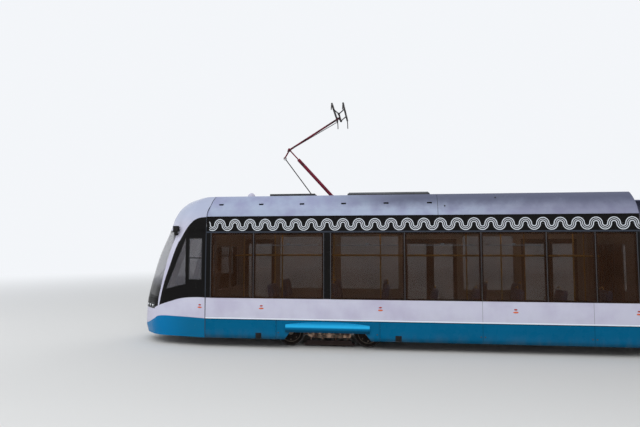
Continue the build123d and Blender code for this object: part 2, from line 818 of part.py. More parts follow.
ARM_FOOT = (8892, 3450)
KNUCKLE = (10109, 4790)
LEVER_PIN = (10234, 4574)
ROD_FOOT = (9205, 3181)
HEAD_PIVOT = (8800, 5600)
TIE_LOW = (10129, 4744)
TIE_HIGH = (8866, 5460)
STRIPS_X = (8930, 8660)
STRIP_Z = 5750
STRIP_HALF = 800
HORN_HALF = 960
HORN_DROP = 210
PIN = 12
EYE_PLAY = 16
TIE_PLAY = 8
ROD_Y = -42
TIE_Y = 84


def at(place, y):
    return (place[0], y, place[1])


def toward(start, end, distance):
    """A place the given distance from start on the line to end."""
    length = ((end[0] - start[0]) ** 2 + (end[1] - start[1]) ** 2) ** 0.5
    share = distance / length
    return (start[0] + (end[0] - start[0]) * share, start[1] + (end[1] - start[1]) * share)


def pantograph_base():
    """Frame on four insulators, with bearings for the lower arm and for the coupling rod."""
    parts = []
    for y in (-420, 420):
        parts.append(block(8700, 9640, y - 30, y + 30, 3290, 3350))
    parts.append(block(8700, 8760, -420, 420, 3290, 3350))
    parts.append(block(9580, 9640, -420, 420, 3180, 3235))
    for y in (-420, 420):
        parts.append(block(9580, 9640, y - 30, y + 30, 3180, 3350))
    for x in (8730, 9610):
        for y in (-420, 420):
            parts.append(rod((x, y, ROOF_DECK), (x, y, 3300), 35))
            for level in (3080, 3150, 3220):
                parts.append(rod((x, y, level), (x, y, level + 25), 62))
    parts.append(block(8860, 8924, -420, -355, 3340, 3500))
    parts.append(block(8860, 8924, 355, 420, 3340, 3500))
    for y in (ROD_Y - 25, ROD_Y + 25):
        parts.append(block(9160, 9250, y - 9, y + 9, 3130, 3330))
    parts.append(block(9160, 9220, -420, 420, 3300, 3350))
    parts.append(block(9010, 9400, 190, 330, 3345, 3440))
    parts.append(rod((9060, -260, 3385), (9400, -260, 3385), 42))
    parts.append(block(9040, 9080, -300, -220, 3340, 3400))
    parts.append(block(9360, 9400, -300, -220, 3340, 3400))
    parts.append(block(8700, 9640, -275, -245, 3300, 3345))
    parts.append(block(8700, 9640, 245, 275, 3300, 3345))
    whole = fused(parts)
    whole = whole - cross_pin(*ARM_FOOT, -430, 430, 20 + RUNNING_CLEARANCE)
    return whole - cross_pin(*ROD_FOOT, ROD_Y - 40, ROD_Y + 40, PIN + RUNNING_CLEARANCE)


FORK_LENGTH = 350


def lower_arm():
    """A stout tube that ends in a long fork, so that the upper arm folds down between its cheeks."""
    shaft = cross_pin(*ARM_FOOT, -345, 345, 38) + cross_pin(*ARM_FOOT, -415, 415, 20)
    root = toward(KNUCKLE, ARM_FOOT, FORK_LENGTH)
    arm = rod(at(ARM_FOOT, 0), at(root, 0), 42)
    cheeks = [cross_pin(*root, -64, 64, 42)]
    for side in (-1, 1):
        cheeks.append(rod(at(root, side * 48), at(KNUCKLE, side * 48), 16))
        cheeks.append(cross_pin(*KNUCKLE, side * 32, side * 64, 34))
    pin = cross_pin(*KNUCKLE, -60, 60, 15)
    tie_stub = cross_pin(*TIE_LOW, 64, 100, PIN)
    lug = cross_pin(*TIE_LOW, 40, 66, 26)
    return fused([shaft, arm, *cheeks, pin, lug, tie_stub])


def upper_arm():
    hub = cross_pin(*KNUCKLE, -25, 25, 38)
    arm = rod(at(KNUCKLE, 0), at(HEAD_PIVOT, 0), 24)
    lever = rod(at(KNUCKLE, 0), at(LEVER_PIN, 0), 18) + cross_pin(*LEVER_PIN, -56, 20, PIN)
    end = cross_pin(*HEAD_PIVOT, -60, 60, 22)
    whole = fused([hub, arm, lever, end])
    whole = whole - cross_pin(*KNUCKLE, -40, 40, 15 + RUNNING_CLEARANCE)
    return whole - cross_pin(*HEAD_PIVOT, -70, 70, PIN + RUNNING_CLEARANCE)


def coupling_rod():
    y = ROD_Y
    eye = cross_pin(*LEVER_PIN, y - 10, y + 10, PIN + EYE_PLAY + 12)
    bar = rod(at(ROD_FOOT, y), at(toward(LEVER_PIN, ROD_FOOT, PIN + EYE_PLAY + 4), y), 13)
    foot = cross_pin(*ROD_FOOT, y - 13, y + 13, 24) + cross_pin(*ROD_FOOT, y - 34, y + 34, PIN)
    return eye + bar + foot - cross_pin(*LEVER_PIN, y - 20, y + 20, PIN + EYE_PLAY)


def tie_rod():
    y = TIE_Y
    low = cross_pin(*TIE_LOW, y - 11, y + 11, 22)
    high = cross_pin(*TIE_HIGH, y - 11, y + 11, PIN + EYE_PLAY)
    bar = rod(at(TIE_LOW, y), at(TIE_HIGH, y), 9)
    whole = low + bar + high - cross_pin(*TIE_LOW, y - 20, y + 20, PIN + RUNNING_CLEARANCE)
    return whole - cross_pin(*TIE_HIGH, y - 20, y + 20, PIN + TIE_PLAY)


def collector_head():
    """Two collector strips with down-turned horns, on a sprung cross tube."""
    parts = [cross_pin(*HEAD_PIVOT, -330, 330, PIN)]
    for side in (-1, 1):
        parts.append(cross_pin(*HEAD_PIVOT, side * 66, side * 340, 22))
        y = side * 340
        parts.append(rod((HEAD_PIVOT[0], y, HEAD_PIVOT[1]), (STRIPS_X[0], y, STRIP_Z - 30), 14))
        parts.append(rod((HEAD_PIVOT[0], y, HEAD_PIVOT[1]), (STRIPS_X[1], y, STRIP_Z - 30), 14))
        parts.append(cross_pin(*HEAD_PIVOT, y - 20, y + 20, 30))
    for x in STRIPS_X:
        parts.append(block(x - 20, x + 20, -STRIP_HALF, STRIP_HALF, STRIP_Z - 45, STRIP_Z))
        for side in (-1, 1):
            low = (x, side * HORN_HALF, STRIP_Z - HORN_DROP)
            bend = (x, side * (HORN_HALF - 60), STRIP_Z - 90)
            parts.append(rod((x, side * (STRIP_HALF - 5), STRIP_Z - 24), bend, 12))
            parts.append(rod(bend, low, 12))
            parts.append(Pos(*bend) * Sphere(12))
    parts.append(cross_pin(*TIE_HIGH, 66, 110, PIN - 4))
    parts.append(rod(at(HEAD_PIVOT, 110), at(TIE_HIGH, 110), 9))
    return fused(parts)


# Roof units: low x, high x, half width, top

AIR_UNIT = (6660, 8560, 850, 3570)
RESISTOR = (9330, 10410, 3550)
DOME_X = 10970


FAN_RADIUS = 270
FAN_DEPTH = 60
LOUVRE_PITCH = 120


def air_unit():
    """Cooling unit with three fan wells, each with a hub and a crossed guard, and louvres along its sides."""
    low, high, half, top = AIR_UNIT
    unit = block(low, high, -half, half, ROOF_DECK, top)
    unit = chamfer(unit.edges().group_by(Axis.Z)[-1], 40)
    middle = (low + high) / 2
    for x in (middle - 640, middle, middle + 640):
        unit = unit - Pos(x, 0, top) * Cylinder(FAN_RADIUS, 2 * FAN_DEPTH)
        unit = unit + Pos(x, 0, top - FAN_DEPTH / 2 - 6) * Cylinder(70, FAN_DEPTH)
        for turn in (0, 60, 120):
            unit = unit + Pos(x, 0, top - 12) * Rot(0, 0, turn) * Box(2 * FAN_RADIUS + 10, 14, 10)
    x = low + LOUVRE_PITCH
    while x < high - LOUVRE_PITCH:
        for side in (-1, 1):
            flank = side * half
            unit = unit - block(x - 40, x + 40, flank - 20, flank + 20, ROOF_DECK + 120, top - 120)
        x += LOUVRE_PITCH
    return unit


def resistor_box():
    """Brake resistor in a ribbed case."""
    low, high, top = RESISTOR
    box = block(low, high, 500, 900, ROOF_DECK, top)
    x = low + 90
    while x < high - 60:
        box = box - block(x - 22, x + 22, 560, 840, top - 60, top + 1)
        x += 90
    return box


def roof_crate(low, high, half, top):
    """Closed equipment case with a bevelled lid."""
    crate = block(low, high, -half, half, ROOF_DECK, top)
    return chamfer(crate.edges().group_by(Axis.Z)[-1], 50)


def front_roof_units():
    dome = Pos(DOME_X, 500, ROOF_DECK) * Cylinder(90, 450, align=(Align.CENTER, Align.CENTER, Align.MIN))
    dome = fillet(dome.edges().group_by(Axis.Z)[-1], 60)
    rear_crate = roof_crate(3000, 5400, 750, 3470)
    return [air_unit(), *both_sides(resistor_box()), dome, rear_crate]


def rear_roof_units():
    rear_air_unit = mirror(air_unit(), about=Plane.YZ)
    return [rear_air_unit, roof_crate(-5400, -3000, 750, 3470), roof_crate(-10900, -9200, 700, 3450)]


# The three sections

# x, side of the aisle, foot height
END_POLES = (
    (11400, -1, FLOOR_TOP), (10560, -1, FLOOR_TOP), (10200, 1, WELL_FLOOR), (9000, 1, WELL_FLOOR),
    (9000, -1, WELL_FLOOR), (7800, 1, WELL_FLOOR), (7800, -1, WELL_FLOOR), (5650, -1, FLOOR_TOP),
    (5000, 1, FLOOR_TOP), (4250, -1, FLOOR_TOP), (2850, -1, FLOOR_TOP), (3400, 1, FLOOR_TOP),
)
LEFT_SEATS, RIGHT_SEATS = (3000, 3900, 4800, 5700, 6600), (4330, 5150)
MIDDLE_POLES = [(x, side, WELL_FLOOR) for x in (1200, -1200) for side in (1, -1)]


def end_roof():
    cap = nose_form(CAP_BOTTOM, FAIRING_TOP, 0)
    side = fairing(END_BODY_X, CAB_SEAM_X - 3, 140, 60)
    return [roof_deck(END_BODY_X, CAB_SEAM_X - 3), side, mirrored(side), cap]


front = {
    "floor": [*end_floor(), nose_floor()],
    "walls": [
        wall(END_BODY_X, CAB_SEAM_X, LEFT_PANES, (), 1),
        wall(END_BODY_X, CAB_SEAM_X, RIGHT_PANES, DOORS, -1),
    ],
    "skirts": skirts(END_BODY_X, CAB_SEAM_X, END_BOGIE_X, DOORS),
    "roof": end_roof(),
    "glass": glazing(LEFT_PANES, 1) + glazing(RIGHT_PANES, -1) + door_panes(DOORS),
    "doors": door_leaves(DOORS),
    "portal": [portal(END_BODY_X, END_BODY_X + PORTAL)],
    "seats": podium_seats(END_BOGIE_X) + low_seats(LEFT_SEATS, 1) + low_seats(RIGHT_SEATS, -1),
    "handrails": [handrails(2850, 11400, END_POLES)],
    "bellows": [bellows()],
}
cab_sides = cab_side_space()
cab_panes = nose_glass(cab_sides)
extra = {"glass": cab_panes + [mirrored(pane) for pane in cab_panes]}
tail_extra = {"glass": nose_glass([tail_window_space()])}
for name, pieces in front.items():
    write(f"front_{name}", pieces + extra.get(name, []))
    write(f"rear_{name}", reversed_end(pieces + tail_extra.get(name, [])))

bumper = nose_layer(NOSE_BOTTOM, WAIST_LINE, 0, SHELL)
write("nose_bumper", [bumper])
write("tail_bumper", reversed_end([bumper]))
write("cab_shell", [nose_shell([screen_space(), *cab_sides, lamp_space()])])
write("windscreen", nose_glass([screen_space()]))
write("headlamps", lamp_units())
write("cab_partition", [partition()])
write("driver_desk", [desk()])
write("driver_seat", [driver_seat()])
write("camera_arms", camera_arms())
write("tail_shell", reversed_end([nose_shell([tail_window_space(), lamp_space()])]))
write("tail_lamps", reversed_end(lamp_units()))

write("middle_floor", middle_floor())
write("middle_walls", [
    wall(-MIDDLE_BODY_X, MIDDLE_BODY_X, MIDDLE_PANES, (), 1),
    wall(-MIDDLE_BODY_X, MIDDLE_BODY_X, MIDDLE_PANES, (), -1),
])
write("middle_skirts", skirts(-MIDDLE_BODY_X, MIDDLE_BODY_X, 0, ()))
middle_fairing = fairing(-MIDDLE_BODY_X, MIDDLE_BODY_X, 60, 60)
middle_crate = Pos(0, 0, JOINT_GAP) * roof_crate(-1300, 1300, 700, 3440)
write("middle_roof", [roof_deck(-MIDDLE_BODY_X, MIDDLE_BODY_X), *both_sides(middle_fairing), middle_crate])
write("middle_glass", glazing(MIDDLE_PANES, 1) + glazing(MIDDLE_PANES, -1))
write("middle_portals", [
    portal(MIDDLE_BODY_X - PORTAL, MIDDLE_BODY_X),
    portal(-MIDDLE_BODY_X, PORTAL - MIDDLE_BODY_X),
])
write("middle_seats", podium_seats(0))
write("middle_handrails", [handrails(-1700, 1700, MIDDLE_POLES)])
write("turntable_plates", [turntable(), *reversed_end([turntable()])])

for name, centre in (("front", END_BOGIE_X), ("middle", 0), ("rear", -END_BOGIE_X)):
    write(f"{name}_bogie_frame", [bogie_frame(centre)])
    write(f"{name}_bogie_gear", bogie_gear(centre))
    for end, step in (("leading", WHEELBASE / 2), ("trailing", -WHEELBASE / 2)):
        write(f"{name}_{end}_wheelset", [wheelset(centre + step)])

write("pantograph_base", [pantograph_base()])
write("pantograph_lower_arm", [lower_arm()])
write("pantograph_upper_arm", [upper_arm()])
write("pantograph_coupling_rod", [coupling_rod()])
write("pantograph_tie_rod", [tie_rod()])
write("pantograph_head", [collector_head()])
write("front_roof_units", front_roof_units())
write("rear_roof_units", rear_roof_units())
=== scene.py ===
import math

import bmesh
import bpy
from mathutils import Matrix, Vector


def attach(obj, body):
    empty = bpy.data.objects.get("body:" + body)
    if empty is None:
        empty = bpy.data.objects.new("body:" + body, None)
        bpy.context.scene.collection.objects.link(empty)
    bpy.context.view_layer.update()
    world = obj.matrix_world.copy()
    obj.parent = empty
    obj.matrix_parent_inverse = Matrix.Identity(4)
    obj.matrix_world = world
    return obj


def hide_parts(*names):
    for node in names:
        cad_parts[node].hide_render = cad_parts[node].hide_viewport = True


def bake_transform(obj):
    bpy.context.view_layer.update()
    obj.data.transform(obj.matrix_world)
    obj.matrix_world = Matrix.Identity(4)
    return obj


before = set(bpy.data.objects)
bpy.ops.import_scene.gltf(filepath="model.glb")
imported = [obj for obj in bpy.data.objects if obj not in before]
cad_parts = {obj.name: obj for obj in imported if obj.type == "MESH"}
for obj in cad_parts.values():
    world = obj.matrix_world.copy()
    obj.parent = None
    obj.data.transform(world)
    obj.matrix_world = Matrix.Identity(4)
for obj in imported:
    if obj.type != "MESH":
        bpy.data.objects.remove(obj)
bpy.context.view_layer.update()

# Ground, light and camera.
# A plain pale floor under wide soft lamps, seen from the tram's left near its front bogie.
BACKDROP = (0.90, 0.92, 0.95, 1)
bpy.context.scene.view_settings.view_transform = "Standard"


def add_node(tree, kind, inputs, output=0, **settings):
    """A shader node with its inputs set or joined; gives one of its outputs."""
    made = tree.nodes.new("ShaderNode" + kind)
    for key, value in settings.items():
        setattr(made, key, value)
    for key, value in inputs.items():
        if isinstance(value, bpy.types.NodeSocket):
            tree.links.new(value, made.inputs[key])
        else:
            made.inputs[key].default_value = value
    return made.outputs[output]


floor_mesh = bmesh.new()
bmesh.ops.create_grid(floor_mesh, x_segments=1, y_segments=1, size=160)
floor_data = bpy.data.meshes.new("studio_floor")
floor_mesh.to_mesh(floor_data)
floor_mesh.free()
studio_floor = bpy.data.objects.new("studio_floor", floor_data)
bpy.context.scene.collection.objects.link(studio_floor)
floor_paint = bpy.data.materials.new("floor_paint")
floor_paint.use_nodes = True
floor_data.materials.append(floor_paint)
ground = floor_paint.node_tree
matt = ground.nodes["Principled BSDF"]
matt.inputs["Base Color"].default_value = (0.74, 0.74, 0.73, 1)
matt.inputs["Roughness"].default_value = 0.85
ground_place = add_node(ground, "TexCoord", {}, "Object")
reach = add_node(ground, "VectorMath", {0: ground_place}, "Value", operation="LENGTH")
limits = {"Value": reach, "From Min": 12, "From Max": 45}
fade = add_node(ground, "MapRange", limits, interpolation_type="SMOOTHSTEP")
seen = add_node(ground, "LightPath", {}, "Is Camera Ray")
share = add_node(ground, "Math", {0: fade, 1: seen}, operation="MULTIPLY")
pale = add_node(ground, "Emission", {"Color": BACKDROP})
surface = add_node(ground, "MixShader", {0: share, 1: matt.outputs[0], 2: pale})
ground.links.new(surface, ground.nodes["Material Output"].inputs["Surface"])

world = bpy.data.worlds.new("studio")
world.use_nodes = True
bpy.context.scene.world = world
sky = world.node_tree
ambient = sky.nodes["Background"]
ambient.inputs["Color"].default_value = (0.93, 0.96, 1.0, 1)
ambient.inputs["Strength"].default_value = 0.5
seen = add_node(sky, "LightPath", {}, "Is Camera Ray")
for ray in ("Is Glossy Ray", "Is Transmission Ray"):
    seen = add_node(sky, "Math", {0: seen, 1: add_node(sky, "LightPath", {}, ray)}, operation="MAXIMUM")
pale = add_node(sky, "Background", {"Color": BACKDROP, "Strength": 1.0})
surface = add_node(sky, "MixShader", {0: seen, 1: ambient.outputs[0], 2: pale})
sky.links.new(surface, sky.nodes["World Output"].inputs["Surface"])

# name, place, aim, width, depth, power
for name, place, aim, width, depth, power in (
    ("left_lamp", (9, 17, 15), (6, 0, 1.5), 26, 12, 2500),
    ("right_lamp", (-6, -19, 15), (-2, 0, 1.5), 26, 12, 2000),
    ("front_lamp", (26, 5, 9), (12, 0, 1.8), 9, 9, 450),
    ("back_lamp", (-26, -5, 9), (-12, 0, 1.8), 9, 9, 450),
):
    light = bpy.data.lights.new(name, "AREA")
    light.shape = "RECTANGLE"
    light.size, light.size_y, light.energy = width, depth, power
    lamp = bpy.data.objects.new(name, light)
    lamp.location = place
    lamp.rotation_euler = (Vector(aim) - Vector(place)).to_track_quat("-Z", "Y").to_euler()
    bpy.context.scene.collection.objects.link(lamp)

view_data = bpy.data.cameras.new("photo_view")
view_data.lens, view_data.sensor_width = 27, 36
view_data.clip_end = 400
photo_view = bpy.data.objects.new("photo_view", view_data)
photo_view.location = (7.83, 12.10, 2.336)
photo_view.rotation_euler = (math.radians(93.88), 0, math.radians(187))
bpy.context.scene.collection.objects.link(photo_view)
bpy.context.scene.camera = photo_view


# Underframe and floors.
# Welded steel sills and wheel boxes, painted dark and dusty below, with a speckled vinyl floor laid on top.
# Steel tread plates cover the joints of the floor at the articulations.
RAIL_TOP = 0.026
FLOOR_TOP = 0.37


class Field:
    """A number or colour that varies over a finish, with the sums that nodes can do."""

    def __init__(self, finish, socket):
        self.finish, self.socket = finish, socket

    def math(self, operation, *others, clamp=False):
        return self.finish.node("Math", dict(enumerate((self, *others))), operation=operation, use_clamp=clamp)

    def __abs__(self):
        return self.math("ABSOLUTE")

    def __add__(self, other):
        return self.math("ADD", other)

    def __sub__(self, other):
        return self.math("SUBTRACT", other)

    def __rsub__(self, other):
        return self.finish.node("Math", {0: other, 1: self}, operation="SUBTRACT")

    def __mul__(self, other):
        return self.math("MULTIPLY", other)

    def over(self, limit, soft=0.004):
        """1 where this is more than the limit, 0 where it is less."""
        return (self - limit).math("MULTIPLY_ADD", 1 / soft, 0.5, clamp=True)

    def under(self, limit, soft=0.004):
        return (limit - self).math("MULTIPLY_ADD", 1 / soft, 0.5, clamp=True)

    def band(self, low, high, soft=0.004):
        return self.over(low, soft) * self.under(high, soft)

    def line(self, at, half=0.003, soft=0.002):
        return abs(self - at).under(half, soft)

    def spread(self, low, high, out_low=0.0, out_high=1.0):
        """A smooth step from one value to another between two limits."""
        steps = {0: self, 1: low, 2: high, 3: out_low, 4: out_high}
        return self.finish.node("MapRange", steps, interpolation_type="SMOOTHSTEP")

    def mix(self, first, second):
        """The first colour where this is 0 and the second where it is 1."""
        first, second = (colour if isinstance(colour, Field) else (*colour, 1) for colour in (first, second))
        return self.finish.node("Mix", {0: self, 6: first, 7: second}, 2, data_type="RGBA")


class Finish:
    """One shader, and the nodes that vary it over the surface."""

    def __init__(self, name, roughness, **sockets):
        self.material = bpy.data.materials.new(name)
        self.material.use_nodes = True
        self.shader = self.material.node_tree.nodes["Principled BSDF"]
        self.set(Roughness=roughness, **sockets)
        self.place = self.node("TexCoord", {}, "Object")
        self.x, self.y, self.z = (self.node("SeparateXYZ", {0: self.place}, axis) for axis in range(3))
        self.ahead, self.aside, self.level = abs(self.x), abs(self.y), self.z - RAIL_TOP

    def node(self, kind, inputs, output=0, **settings):
        inputs = {key: value.socket if isinstance(value, Field) else value for key, value in inputs.items()}
        return Field(self, add_node(self.material.node_tree, kind, inputs, output, **settings))

    def noise(self, scale, detail=4.0, stretch=(1, 1, 1), rough=0.55):
        place = self.node("Mapping", {"Vector": self.place, "Scale": stretch})
        return self.node("TexNoise", {"Vector": place, "Scale": scale, "Detail": detail, "Roughness": rough})

    def ribs(self, scale):
        return self.node("TexWave", {"Vector": self.place, "Scale": scale}, "Fac", bands_direction="X")

    def cells(self, scale, unevenness):
        inputs = {"Vector": self.place, "Scale": scale, "Randomness": unevenness}
        return self.node("TexVoronoi", inputs, "Distance")

    def facing_up(self):
        return self.node("SeparateXYZ", {0: self.node("NewGeometry", {}, "Normal")}, 2)

    def set(self, **sockets):
        for name, value in sockets.items():
            socket = self.shader.inputs[name.replace("_", " ")]
            if isinstance(value, Field):
                self.material.node_tree.links.new(value.socket, socket)
            else:
                socket.default_value = value

    def paint(self, colour, roughness=None, bump=None, distance=0.002, **others):
        self.set(Base_Color=colour, **others)
        if roughness:
            self.set(Roughness=roughness)
        if bump:
            self.set(Normal=self.node("Bump", {"Height": bump, "Distance": distance, "Strength": 1.0}))


def mottled(name, grain, low, high, roughness, wear=None, relief=None, **sockets):
    """A finish that wanders between two tones; wear is its change of gloss, and relief its fine grain."""
    made = Finish(name, roughness, **sockets)
    made.paint(made.noise(*grain).mix(low, high))
    if wear:
        made.set(Roughness=made.noise(wear[0]).spread(0.3, 0.8, *wear[1:]))
    if relief:
        bump = {"Height": made.noise(relief[0]), "Distance": relief[1], "Strength": 1.0}
        made.set(Normal=made.node("Bump", bump))
    return made


def dress(finish, *names):
    """Gives CAD nodes their finish."""
    for name in names:
        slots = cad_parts[name].data.materials
        for number in range(len(slots)):
            slots[number] = finish.material


floor_finish = Finish("underframe_and_vinyl", 0.7)
dust = floor_finish.noise(3.0, 5.0)
dusty_paint = dust.spread(0.35, 0.75).mix((0.028, 0.028, 0.03), (0.11, 0.09, 0.07))
vinyl = floor_finish.noise(160.0, 2.0).over(0.58, 0.05).mix((0.16, 0.17, 0.18), (0.30, 0.31, 0.32))
is_top = floor_finish.facing_up().over(0.5, 0.1) * floor_finish.z.over(FLOOR_TOP)
floor_finish.paint(is_top.mix(dusty_paint, vinyl), dust.spread(0.3, 0.8, 0.5, 0.85), floor_finish.noise(40.0), 0.001)
dress(floor_finish, "front_floor", "middle_floor", "rear_floor")

plate_finish = Finish("tread_plate", 0.4, Metallic=0.9)
plate_colour = plate_finish.noise(6.0).mix((0.22, 0.23, 0.24), (0.42, 0.42, 0.43))
plate_finish.paint(plate_colour, bump=plate_finish.cells(38.0, 0.15).under(0.3, 0.1))
dress(plate_finish, "turntable_plates")


# Bogies.
# Cranked cast side beams, motors and springs, long since rusted brown and coated with brake dust.
# The wheels are forged steel, grimy and darkened further by painted shade, but for the bright tread.
BOGIES = {"front": 9.0, "middle": 0.0, "rear": -9.0}
AXLE_STEPS = {"leading": 0.9, "trailing": -0.9}
AXLES = {f"{name}_{end}_wheelset": x + step for name, x in BOGIES.items() for end, step in AXLE_STEPS.items()}
AXLE_Z = RAIL_TOP + 0.31
TREAD_RADIUS = 0.3045
RUST_DARK, RUST, RUST_DUSTY = (0.045, 0.030, 0.024), (0.20, 0.105, 0.06), (0.23, 0.17, 0.12)
STREAK_DARK, STREAK_TAN, IRON_SHADE = (0.07, 0.03, 0.018), (0.62, 0.42, 0.30), (0.022, 0.010, 0.008)

iron = Finish("rusted_casting", 0.85)
scale_noise = iron.noise(9.0, 8.0, rough=0.7)
grit = iron.noise(90.0, 4.0)
iron_colour = scale_noise.spread(0.35, 0.65).mix(RUST_DARK, RUST)
iron_colour = iron.noise(2.5).spread(0.5, 0.75).mix(iron_colour, RUST_DUSTY)
streaks = iron.noise(7.0, 3.0, stretch=(1.6, 1, 0.25)).spread(0.42, 0.60).mix(STREAK_DARK, STREAK_TAN)
on_brake = iron.aside.over(0.60, 0.01) * iron.level.band(0.13, 0.22, 0.02)
on_beam = iron.aside.over(0.84, 0.01) * iron.level.over(0.15, 0.02)
iron_colour = on_beam.mix((on_brake * 0.6).mix(iron_colour, streaks), streaks)
iron_colour = iron.level.under(0.14, 0.02).mix(iron_colour, IRON_SHADE)
iron.paint(iron_colour, grit.spread(0.3, 0.7, 0.7, 0.95), scale_noise + grit * 0.5, 0.004)
for section in BOGIES:
    dress(iron, f"{section}_bogie_frame", f"{section}_bogie_gear")

for name, axle_x in AXLES.items():
    steel = Finish(f"steel_{name}", 0.6, Metallic=0.75)
    across, above = steel.x - axle_x, steel.z - AXLE_Z
    worn = (across * across + above * above).math("SQRT").over(TREAD_RADIUS, 0.002)
    grime = steel.noise(14.0, 6.0)
    rings = steel.noise(300.0, 2.0, stretch=(0.02, 1, 0.02))
    # The web's near-black colour is partly grime and partly painted shade.
    web = grime.spread(0.3, 0.7).mix((0.008, 0.006, 0.006), (0.030, 0.020, 0.016))
    steel.paint(worn.mix(web, (0.30, 0.29, 0.28)), 0.72 - worn * 0.45, rings * 0.3 + grime, 0.0012)
    dress(steel, name)


# Skirts.
# Glass-fibre panels painted cyan, hinged at the top, with a raised hood over each bogie.
# Dirt lies low down on them. Painted highlight and shade lie on the hood, painted shade on the skirts' top and foot.
SKIRT_SEAMS = (10.155, 7.843, 5.618, 3.344)
FLANK, HOOD_OUT = 1.235, 1.2465
BASE_BLUE, BASE_BLUE_DULL, NOSE_LIT_BLUE = (0.0, 0.125, 0.265), (0.0, 0.095, 0.205), (0.0, 0.17, 0.40)
HOOD_LIT_TOP, HOOD_EDGE_HIGHLIGHT = (0.0, 0.19, 0.42), (0.02, 0.42, 0.78)
HOOD_FACE, HOOD_SHADE = (0.0, 0.12, 0.27), (0.0, 0.03, 0.06)
SEAM_BLUE, TOP_SHADE_BLUE, FOOT_SHADE_BLUE = (0.004, 0.02, 0.04), (0.0, 0.02, 0.045), (0.0, 0.035, 0.07)
SKIRT_DIRT = (0.12, 0.13, 0.13)


def low_dirt(finish, clean, top, dirt, most):
    """Splashed dirt that thins out towards a level, with runs down the panel."""
    uneven = finish.noise(9.0, 5.0, stretch=(1, 1, 0.12)) + finish.noise(3.5, 6.0)
    return (finish.level.spread(0.15, top, 1.0, 0.0) * uneven.spread(0.75, 1.35) * most).mix(clean, dirt)


skirt_paint = Finish("skirt_paint", 0.3, Specular_IOR_Level=0.06)
height = skirt_paint.level
# Painted light on the hood: a painted highlight over its sloping top, brightest at its edge, and painted shade low on
# its face.
hood_light_and_shade = height.over(0.475, 0.03).mix(HOOD_FACE, height.spread(0.50, 0.60).mix(HOOD_EDGE_HIGHLIGHT, HOOD_LIT_TOP))
hood_light_and_shade = height.spread(0.40, 0.46, 0.85, 0.0).mix(hood_light_and_shade, HOOD_SHADE)
skirt_colour = skirt_paint.noise(1.2, 3.0).mix(BASE_BLUE_DULL, BASE_BLUE)
skirt_colour = skirt_paint.aside.over(HOOD_OUT, 0.003).mix(skirt_colour, hood_light_and_shade)
for seam_x in SKIRT_SEAMS:
    seam = skirt_paint.ahead.line(seam_x) * skirt_paint.aside.over(FLANK, 0.003)
    skirt_colour = seam.mix(skirt_colour, SEAM_BLUE)
# Painted shade along the skirts' top, under the edge of the white wall.
skirt_colour = height.over(0.622, 0.006).mix(skirt_colour, TOP_SHADE_BLUE)
# Painted shade darkens the skirts towards their foot.
skirt_colour = height.spread(0.20, 0.31, 0.75, 0.0).mix(skirt_colour, FOOT_SHADE_BLUE)
skirt_paint.paint(
    low_dirt(skirt_paint, skirt_colour, 0.474, SKIRT_DIRT, 0.22),
    skirt_paint.noise(5.0).spread(0.3, 0.8, 0.22, 0.45), skirt_paint.noise(2.0, 2.0),
)
dress(skirt_paint, "front_skirts", "middle_skirts", "rear_skirts")


# Side walls.
# Painted aluminium below the glass, and a black frame and ornament band above it, with thin panel joints.
# The winding border of three white lines is enamelled on the band.
GLASS_LOW, GUTTER_LOW, BAND_LOW, BAND_HIGH = 1.115, 2.60, 2.665, 2.965
WAVE_LENGTH, WAVE_MIDDLE, WAVE_END = 0.36, 2.80, 11.775
STRAND_HALF, LINE_HALF = 0.038, 0.0085
JOINT_LINES = (5.618, 3.344)
BLACK, BODY_DIRT, JOINT_GREY = (0.0045, 0.004, 0.004), (0.36, 0.35, 0.34), (0.10, 0.11, 0.13)
WHITE_CLEAN, WHITE_DULL, LIP_HIGHLIGHT = (0.59, 0.59, 0.71), (0.51, 0.49, 0.63), (0.78, 0.84, 0.92)
LINE_WHITE, GUTTER_GREY, LINING_GREY = (0.72, 0.76, 0.82), (0.035, 0.042, 0.058), (0.42, 0.43, 0.44)


def body_white(finish):
    """White enamel, a little dull in patches."""
    return finish.noise(1.6, 5.0).spread(0.35, 0.75).mix(WHITE_CLEAN, WHITE_DULL)


def wave_border(finish):
    """Three lines that wind along x, made of half rings above and below the middle in turn."""
    half = WAVE_LENGTH / 2
    height = finish.level - WAVE_MIDDLE
    centre = height.over(0.0, 0.001).math("MULTIPLY_ADD", -half, half)
    across = finish.x.math("PINGPONG", half) - centre
    away = abs((across * across + height * height).math("SQRT") - half / 2)
    outer = abs(away - STRAND_HALF).under(LINE_HALF, 0.003)
    return outer.math("MAXIMUM", away.under(LINE_HALF * 0.7, 0.003))


wall_paint = Finish("wall_paint", 0.28, Specular_IOR_Level=0.1)
height, aside = wall_paint.level, wall_paint.aside
white = low_dirt(wall_paint, body_white(wall_paint), 1.05, BODY_DIRT, 0.3)
for seam_x in JOINT_LINES:
    white = wall_paint.x.line(seam_x).mix(white, JOINT_GREY)
# A painted highlight along the lower edge of the white.
white = height.under(0.668, 0.006).mix(white, LIP_HIGHLIGHT)
wall_colour = height.over(GLASS_LOW, 0.003).mix(white, BLACK)
on_band = height.band(BAND_LOW, BAND_HIGH) * aside.over(1.2485, 0.001) * wall_paint.ahead.under(WAVE_END, 0.002)
wall_colour = (wave_border(wall_paint) * on_band).mix(wall_colour, LINE_WHITE)
gutter = aside.over(1.2512, 0.0015) * height.band(GUTTER_LOW, GUTTER_LOW + 0.06)
wall_colour = gutter.mix(wall_colour, GUTTER_GREY)
wall_colour = aside.under(1.2015, 0.002).mix(wall_colour, LINING_GREY)
wall_paint.paint(
    wall_colour, wall_paint.noise(4.0).spread(0.3, 0.8, 0.18, 0.34), wall_paint.noise(1.5, 2.0), 0.0015
)
dress(wall_paint, "front_walls", "middle_walls", "rear_walls")


